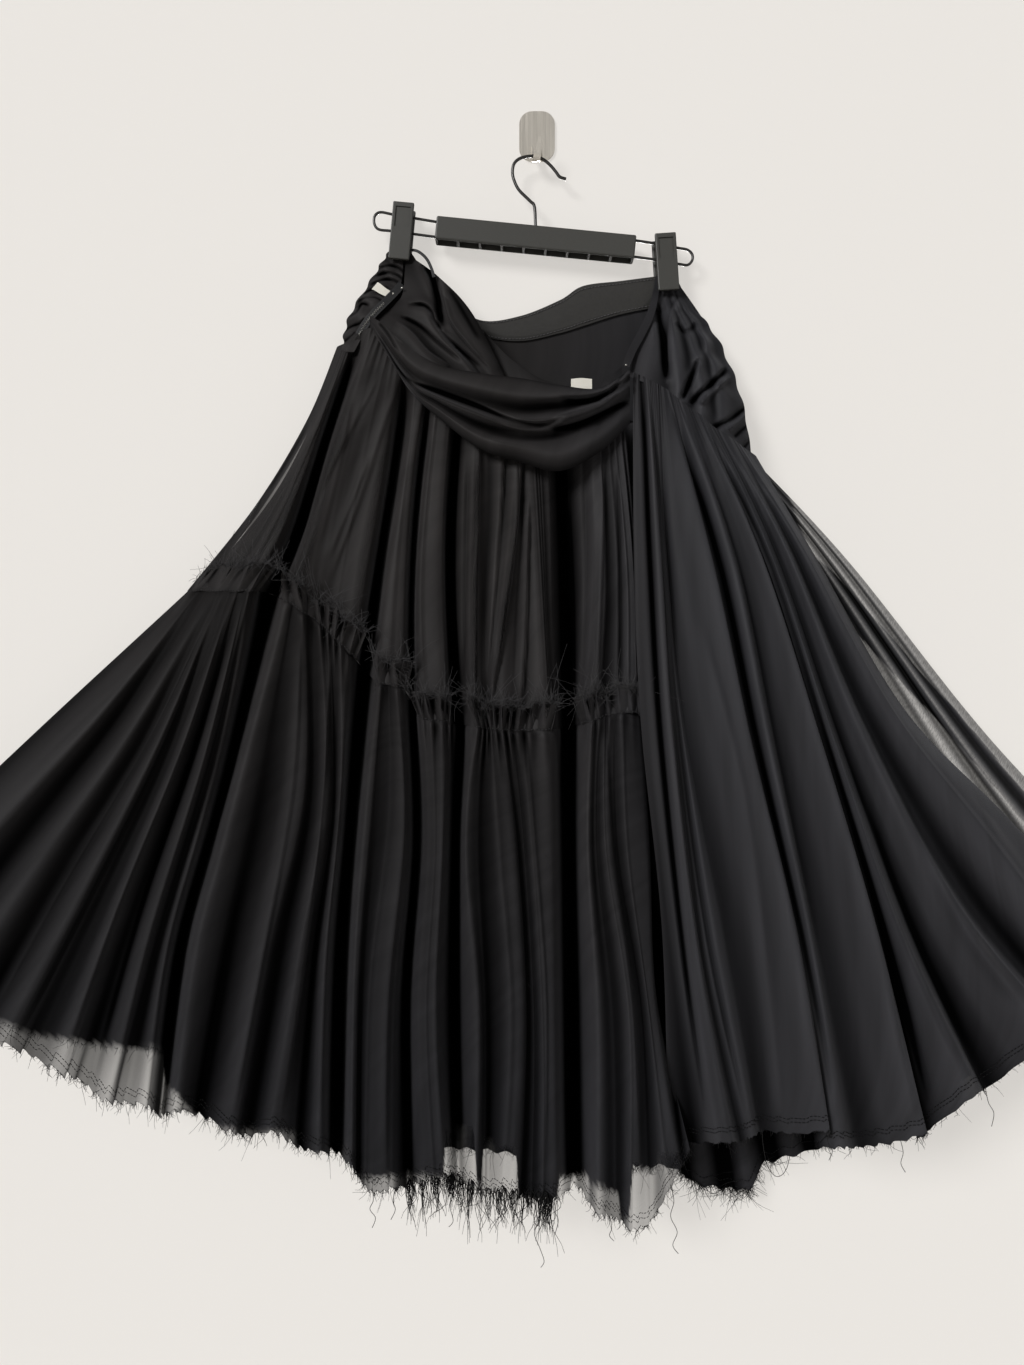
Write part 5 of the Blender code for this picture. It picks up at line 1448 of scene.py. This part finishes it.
class SKIRT_OT_fastenings(bpy.types.Operator):
    """Builds the zip, the hanging ribbon and the blank labels"""

    bl_idname = "skirt.fastenings"
    bl_label = "Zip, ribbon and labels"

    def execute(self, context):
        tape_points = strip_points(ZIP_LINE, (8, 8), 6, 60)
        tape_points[..., 2] -= 5.0 * np.clip(1 - np.linspace(0, 2.5, 61), 0, 1)[:, None]
        tape = panel("zip_tape_cloth", tape_points, "tape", tape_material(), ["zip_tape"])
        ribbon_points = strip_points(HANGING_LOOP, (3, 3), 4, 60)
        ribbon = panel("hanging_ribbon", ribbon_points, "tape", tape_material(), ["hanging_loop"])
        side = surface(LEFT_YOKE, 100, 100)[43:51, 4:50] + (0, 0, LABEL_STAND_OFF)
        satin, waist = label_material(), surface(WAIST_LABEL, 20, 16)
        labels = (
            panel("side_label_tape", side, "label", satin, ["side_label"]),
            panel("waist_label_tape", waist, "label", satin, ["waist_label"]),
        )
        return {"FINISHED"}


class SKIRT_OT_hanger(bpy.types.Operator):
    """Finishes the wall hook, the hanger's bar and clips, and builds its wires and springs"""

    bl_idname = "skirt.hanger"
    bl_label = "Hanger and hook"

    def execute(self, context):
        jaws = [f"{clip}_{jaw}" for clip in CLIPS for jaw in ("front", "back")]
        looks = (
            (steel_material(), ("wall_hook_plate", "wall_hook_prong")),
            (plastic_material(), ("hanger_bar", *jaws)),
        )
        for look, nodes in looks:
            for node in nodes:
                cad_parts[node].data.materials.clear()
                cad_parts[node].data.materials.append(look)
        wires = (
            ("hook_wire", HOOK_WIRE_LINE, HOOK_WIRE, 120, "hanger_hook"),
            ("left_wire_loop", LEFT_LOOP, LOOP_WIRE, 90, "hanger_loop_left"),
            ("right_wire_loop", RIGHT_LOOP, LOOP_WIRE, 90, "hanger_loop_right"),
        )
        for name, line, diameter, steps, node in wires:
            dress(wire(name, line, diameter, steps, wire_material()), "hanger_wire", node)
        for clip in CLIPS:
            low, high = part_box(clip + "_spring")
            coil(clip + "_coil", (low + high) / 2, clip + "_spring")
        return {"FINISHED"}


def coil(name, centre, node):
    """The clip's coiled spring, its axle level with the bar."""
    turns = np.linspace(0, 1, SPRING_TURNS * 20 + 1)
    angle = 2 * np.pi * SPRING_TURNS * turns
    along_axle = (turns - 0.5) * (SPRING_LENGTH - SPRING_WIRE)
    radius = SPRING_RADIUS - SPRING_WIRE / 2
    local = np.stack([along_axle, radius * np.cos(angle), radius * np.sin(angle)], axis=-1) * MM
    tilt = math.radians(BAR_TILT)
    turned = local.copy()
    turned[:, 0] = local[:, 0] * math.cos(tilt) + local[:, 2] * math.sin(tilt)
    turned[:, 2] = -local[:, 0] * math.sin(tilt) + local[:, 2] * math.cos(tilt)
    thing = tubes(name, (turned + np.array(centre))[None], SPRING_WIRE / 2 * MM, 8, wire_material())
    dress(thing, "steel", node)


def edge_of(points, row, inner):
    """Places along one edge row of a sheet and the way that leads out over that edge."""
    edge = on_sheet(points[row])
    return edge, unit(edge - on_sheet(points[inner]))


def strands(name, starts, aims, lengths, seed, curl=0.35, thickness=1.0, steps=5, shade=0.5):
    """Thin threads that leave their starts along the aims and curl a little, as one mesh."""
    rng = np.random.default_rng(seed)
    t = np.linspace(0, 1, steps)[None, :, None]
    bend = rng.normal(0, curl, (len(starts), 1, 3)) * (1.0, 0.5, 1.0)
    wriggle = rng.normal(0, 0.10, (len(starts), 1, 3)) * np.sin(np.pi * 1.5 * t)
    lines = starts[:, None] + lengths[:, None, None] * (aims[:, None] * t + bend * t**2 + wriggle)
    lines[..., 1] = np.minimum(lines[..., 1], -0.6 * MM)
    radii = sizes().thread / 2 * thickness * np.linspace(1.0, 0.55, steps)[None, :]
    return tubes(name, lines, np.repeat(radii, len(starts), axis=0), 3, thread_material(shade))


def fray(name, edge, out, count, length, seed, spread=0.35, shade=0.5, curl=0.35):
    """Short uneven threads along an edge, thicker in some places than in others."""
    rng = np.random.default_rng(seed)
    chance = 0.25 + np.abs(pleats(len(edge), max(6, len(edge) // 14), seed))
    at = rng.choice(len(edge) - 1, count, p=chance[:-1] / chance[:-1].sum())
    share = rng.random(count)[:, None]
    starts = edge[at] * (1 - share) + edge[at + 1] * share - out[at] * 0.8 * MM
    aims = out[at] + rng.normal(0, spread, (count, 3)) * (1.0, 0.4, 1.0)
    lengths = length * np.clip(rng.lognormal(0.0, 0.55, count), 0.3, 3.2)
    return strands(name, starts, aims, lengths, seed + 1, curl, shade=shade)


def lining_edge():
    """Places along the lining's edge on the lower tier, where it shows through, and the way down."""
    points = lower_points()
    gap = points[..., 1] - read_off(LINING_HEM, points[..., 0])[0]
    row = np.clip(np.argmax(gap > 0, axis=0), 1, len(points) - 1)
    column = np.arange(points.shape[1])
    edge, above = (on_sheet(points[at, column] - (0, 0, 0.6)) for at in (row, row - 1))
    return edge, unit(edge - above)


def line_above(points, distance, lift=0.4):
    """Places along a line that runs a distance above the bottom edge of a sheet."""
    places = on_sheet(points + (0, 0, lift))
    lengths = run_lengths(places, 0)
    from_foot = lengths[-1:] - lengths
    row = np.argmax(from_foot < distance, axis=0)
    column = np.arange(points.shape[1])
    high, low = from_foot[row - 1, column], from_foot[row, column]
    share = ((high - distance) / np.maximum(high - low, 1e-9))[:, None]
    return places[row - 1, column] * (1 - share) + places[row, column] * share


def stitches(name, line, seed, shade=0.3):
    """A row of short stitches along a line of places."""
    length = np.concatenate([[0.0], np.cumsum(np.linalg.norm(np.diff(line, axis=0), axis=-1))])
    pitch = 1.45 * sizes().stitch
    starts = np.arange(0, length[-1] - pitch, pitch)
    rng = np.random.default_rng(seed)
    ends = starts + sizes().stitch * rng.uniform(0.85, 1.1, len(starts))
    along = np.stack([starts, (starts + ends) / 2, ends], axis=-1)
    places = np.stack([np.interp(along, length, line[:, axis]) for axis in range(3)], axis=-1)
    places[:, 1, 1] -= 0.15 * MM
    return dress(tubes(name, places, sizes().thread * 0.75, 3, thread_material(shade)), "chiffon")


class SKIRT_OT_stitching(bpy.types.Operator):
    """Sews the hems and the ruffle's seam, and adds the zip's teeth and the knot at the swag's end"""

    bl_idname = "skirt.stitching"
    bl_label = "Stitching and zip teeth"

    def execute(self, context):
        lower, over = lower_points()[:, LOWER_GRID[0] :], overskirt_points()
        for number, distance in enumerate(HEM_STITCHES):
            stitches(f"hem_stitches_{number}", line_above(lower, distance * MM), 20 + number)
        for number, distance in enumerate(OVERSKIRT_STITCHES):
            stitches(f"overskirt_stitches_{number}", line_above(over, distance * MM), 30 + number)
        seam = line_above(header_points(), 1.6 * MM, 0.9)
        for number, bunch in enumerate(bunches()):
            stitches(f"ruffle_seam_stitches_{number}", seam[bunch], 40 + number, 1.6)
        band = surface(BACK_BAND, 140, 16) + (0, 0, 0.5)
        stitches("band_stitches_upper", on_sheet(band[2]), 42, 5.0)
        stitches("band_stitches_lower", on_sheet(band[14]), 43, 5.0)
        stitches("back_hem_stitches", line_above(back_points(), BACK_STITCHES * MM), 41)
        line = on_sheet(between(ZIP_LINE, np.linspace(0.38, 0.99, ZIP_TEETH)) + (0, 0, 0.7))
        ahead = np.gradient(line, axis=0)
        across = unit(np.cross(ahead, (0.0, 1.0, 0.0)))
        lean = np.where(np.arange(ZIP_TEETH) % 2, TOOTH_LEAN, -TOOTH_LEAN)[:, None] * MM
        middle, half = line + across * lean, across * TOOTH_HALF * MM
        lines = np.stack([middle - half, middle, middle + half], axis=1)
        teeth = tubes("zip_teeth", lines, TOOTH_RADIUS * MM, 6, zip_material())
        dress(teeth, "steel")
        ends = np.array(((402, 288, 31), (626, 365, 78)), float)
        turn = np.linspace(-1, 1, 5)[:, None]
        stops = tubes(
            "zip_stop_and_knot",
            on_sheet(np.stack([end + turn * (1.2, -0.8, 0.0) for end in ends])),
            np.array((0.3, 0.9, 1.1, 0.9, 0.3)) * MM,
            10,
            zip_material(),
        )
        dress(stops, "steel")
        return {"FINISHED"}


class SKIRT_OT_threads(bpy.types.Operator):
    """Frays the raw edges and hangs the fringe and the loose threads"""

    bl_idname = "skirt.threads"
    bl_label = "Frays, fringe and loose threads"

    def execute(self, context):
        lower, over, back = lower_points(), overskirt_points(), back_points()
        short = sizes().fray_length
        bunched = np.any(bunches(), axis=0)
        header_edge = (place[bunched] for place in edge_of(header_points(), 0, 2))
        rows = (
            # The heading's fray is painted lighter than the cloth, as painted light on its thin threads.
            fray("header_fray", *header_edge, 1700, short, 50, spread=1.0, shade=2.3, curl=1.1),
            fray("hem_fray", *edge_of(lower, -1, -3), 1500, short, 51, spread=0.45),
            fray("lining_fray", *lining_edge(), 700, 0.9 * short, 52),
            fray("overskirt_fray", *edge_of(over, -1, -3), 420, 0.8 * short, 53),
            fray("back_hem_fray", *edge_of(back, -1, -3), 900, 1.5 * short, 54, spread=0.5),
        )
        shown = (back[-1, :, 0] > 680) & (back[-1, :, 0] < 775)
        clump = (place[shown] for place in edge_of(back, -1, -3))
        rows += (fray("back_hem_clump_fray", *clump, 420, 1.5 * short, 55, spread=0.8, curl=0.6),)
        for thing in rows:
            dress(thing, "chiffon")
        self.fringe(lower)
        self.loose(lower, over)
        return {"FINISHED"}

    def fringe(self, lower):
        """Hangs the long threads of the front hem, thickest where the cloth has come undone."""
        edge, sides = on_sheet(lower[-1]), lower[-1, :, 0]
        for row in FRINGES:
            rng = np.random.default_rng(row.seed)
            tufts = rng.uniform(row.first, row.last, row.count // THREADS_IN_A_TUFT)
            tuft = rng.integers(0, len(tufts), row.count)
            places = tufts[tuft] + rng.normal(0, TUFT_SPREAD, row.count)
            at = np.interp(places, sides, np.arange(len(sides))).astype(int)
            share = rng.uniform(0.45, 1.25, len(tufts))[tuft]
            share *= np.clip(rng.lognormal(0.0, 0.3, row.count), 0.4, 1.5)
            aims = np.array((0.0, 0.0, -1.0)) + rng.normal(0, 0.03, (row.count, 3))
            starts = edge[at] + (0, 0, FRINGE_TUCK * MM) - (0, 0.4 * MM, 0)
            lengths = sizes().fringe_length * share + FRINGE_TUCK * MM
            thing = strands(f"hem_threads_{row.name}", starts, aims, lengths, row.seed, 0.05, 1.5, 8, 0.4)
            dress(thing, "chiffon", f"hem_fringe_{row.name}")

    def loose(self, lower, over):
        """Hangs the few very long threads."""
        for number, row in enumerate(LOOSE_THREADS):
            hem = (over if row.sheet == "over" else lower)[-1]
            start = on_sheet(hem)[np.argmin(np.abs(hem[:, 0] - row.side))]
            line = [start + np.array((x, 0.0, -z)) * MM for x, z in ((0, -3), *row.path)]
            smooth = between(line, np.linspace(0, 1, 36))
            radius = sizes().thread * 0.62
            thing = tubes(f"loose_thread_{number}", smooth[None], radius, 4, thread_material())
            dress(thing, "chiffon")


class SKIRT_OT_stage(bpy.types.Operator):
    """Sets the plain wall and floor, the soft lights and the camera"""

    bl_idname = "skirt.stage"
    bl_label = "Stage"

    def execute(self, context):
        wide, high, low = STAGE_WIDE, STAGE_HIGH, FLOOR_LEVEL
        upright = [(x, WALL_GAP, z) for x, z in ((-wide, low), (wide, low), (wide, high), (-wide, high))]
        level = [(x, y, low) for x, y in ((-wide, -wide), (wide, -wide), (wide, wide), (-wide, wide))]
        wall = new_mesh("backdrop_wall", upright, [(0, 1, 2, 3)], wall_material(), smooth=False)
        floor = new_mesh("backdrop_floor", level, [(0, 1, 2, 3)], floor_material(), smooth=False)
        wall.visible_diffuse = False
        wall.visible_shadow = False
        wall.visible_glossy = False
        for sun in SUNS:
            soft_sun(*sun)
        world = bpy.data.worlds.new("Soft room")
        world.use_nodes = True
        world.node_tree.nodes["Background"].inputs["Color"].default_value = ROOM_COLOUR
        world.node_tree.nodes["Background"].inputs["Strength"].default_value = ROOM_LIGHT
        context.scene.world = world
        context.scene.view_settings.view_transform = "Standard"
        camera = bpy.data.objects.new("eye", bpy.data.cameras.new("eye"))
        context.scene.collection.objects.link(camera)
        camera.location = ((EYE_SIDE - HOOK_SIDE) * MM, -EYE_DISTANCE * MM, -(EYE_DROP - HOOK_DROP) * MM)
        camera.rotation_euler = (math.pi / 2, 0.0, 0.0)
        camera.data.sensor_width = SENSOR
        camera.data.lens = SENSOR * EYE_DISTANCE / SHEET_HEIGHT
        camera.data.clip_start = 0.01
        context.scene.camera = camera
        return {"FINISHED"}


def wall_material():
    """Painted wall that only shows from the front."""
    colour = tuple(colours().wall)
    material, tree, shader = new_material("Wall paint", colour, 0.9, specular=0.1)
    shader.inputs["Emission Color"].default_value = (*colour, 1.0)
    shader.inputs["Emission Strength"].default_value = WALL_GLOW
    mottle(tree, shader, tuple(c * (1 - WALL_GLOW) for c in colour), 0.012, 3.0)
    side = tree.nodes.new("ShaderNodeNewGeometry")
    clear = tree.nodes.new("ShaderNodeBsdfTransparent")
    mix = tree.nodes.new("ShaderNodeMixShader")
    tree.links.new(side.outputs["Backfacing"], mix.inputs["Fac"])
    tree.links.new(shader.outputs["BSDF"], mix.inputs[1])
    tree.links.new(clear.outputs["BSDF"], mix.inputs[2])
    tree.links.new(mix.outputs["Shader"], tree.nodes["Material Output"].inputs["Surface"])
    return material


def floor_material():
    """Plain pale floor."""
    colour = tuple(colours().floor)
    material, tree, shader = new_material("Floor", colour, 0.8)
    mottle(tree, shader, colour, 0.03, 5.0)
    return material


def soft_sun(name, toward, spread, strength):
    """Even soft light that comes from one side, spread over an angle in degrees."""
    lamp = bpy.data.lights.new(name, "SUN")
    lamp.angle = math.radians(spread)
    lamp.energy = strength
    thing = bpy.data.objects.new(name, lamp)
    thing.rotation_euler = Vector(toward).to_track_quat("Z", "Y").to_euler()
    bpy.context.scene.collection.objects.link(thing)


class SKIRT_PT_panel(bpy.types.Panel):
    """Lists the skirt's sizes, colours and pieces"""

    bl_idname = "SKIRT_PT_panel"
    bl_label = "Midi skirt"
    bl_space_type = "VIEW_3D"
    bl_region_type = "UI"
    bl_category = "Skirt"

    def draw(self, context):
        for settings in (context.scene.skirt_sizes, context.scene.skirt_colours):
            for name in settings.__annotations__:
                self.layout.prop(settings, name)
        for operator in OPERATORS:
            self.layout.operator(operator.bl_idname)


OPERATORS = (
    SKIRT_OT_hanger,
    SKIRT_OT_waist,
    SKIRT_OT_fastenings,
    SKIRT_OT_back,
    SKIRT_OT_tiers,
    SKIRT_OT_overskirt,
    SKIRT_OT_stitching,
    SKIRT_OT_threads,
    SKIRT_OT_stage,
)
CLASSES = (SkirtSizes, SkirtColours, *OPERATORS, SKIRT_PT_panel)


def register():
    """Adds the classes and the scene's settings."""
    for kind in CLASSES:
        bpy.utils.register_class(kind)
    bpy.types.Scene.skirt_sizes = bpy.props.PointerProperty(type=SkirtSizes)
    bpy.types.Scene.skirt_colours = bpy.props.PointerProperty(type=SkirtColours)


def unregister():
    """Takes them away again."""
    del bpy.types.Scene.skirt_colours
    del bpy.types.Scene.skirt_sizes
    for kind in reversed(CLASSES):
        bpy.utils.unregister_class(kind)


def main():
    """Builds every piece in order."""
    register()
    bpy.ops.skirt.hanger()
    bpy.ops.skirt.waist()
    bpy.ops.skirt.fastenings()
    bpy.ops.skirt.back()
    bpy.ops.skirt.tiers()
    bpy.ops.skirt.overskirt()
    bpy.ops.skirt.stitching()
    bpy.ops.skirt.threads()
    bpy.ops.skirt.stage()


if __name__ == "__main__":
    main()
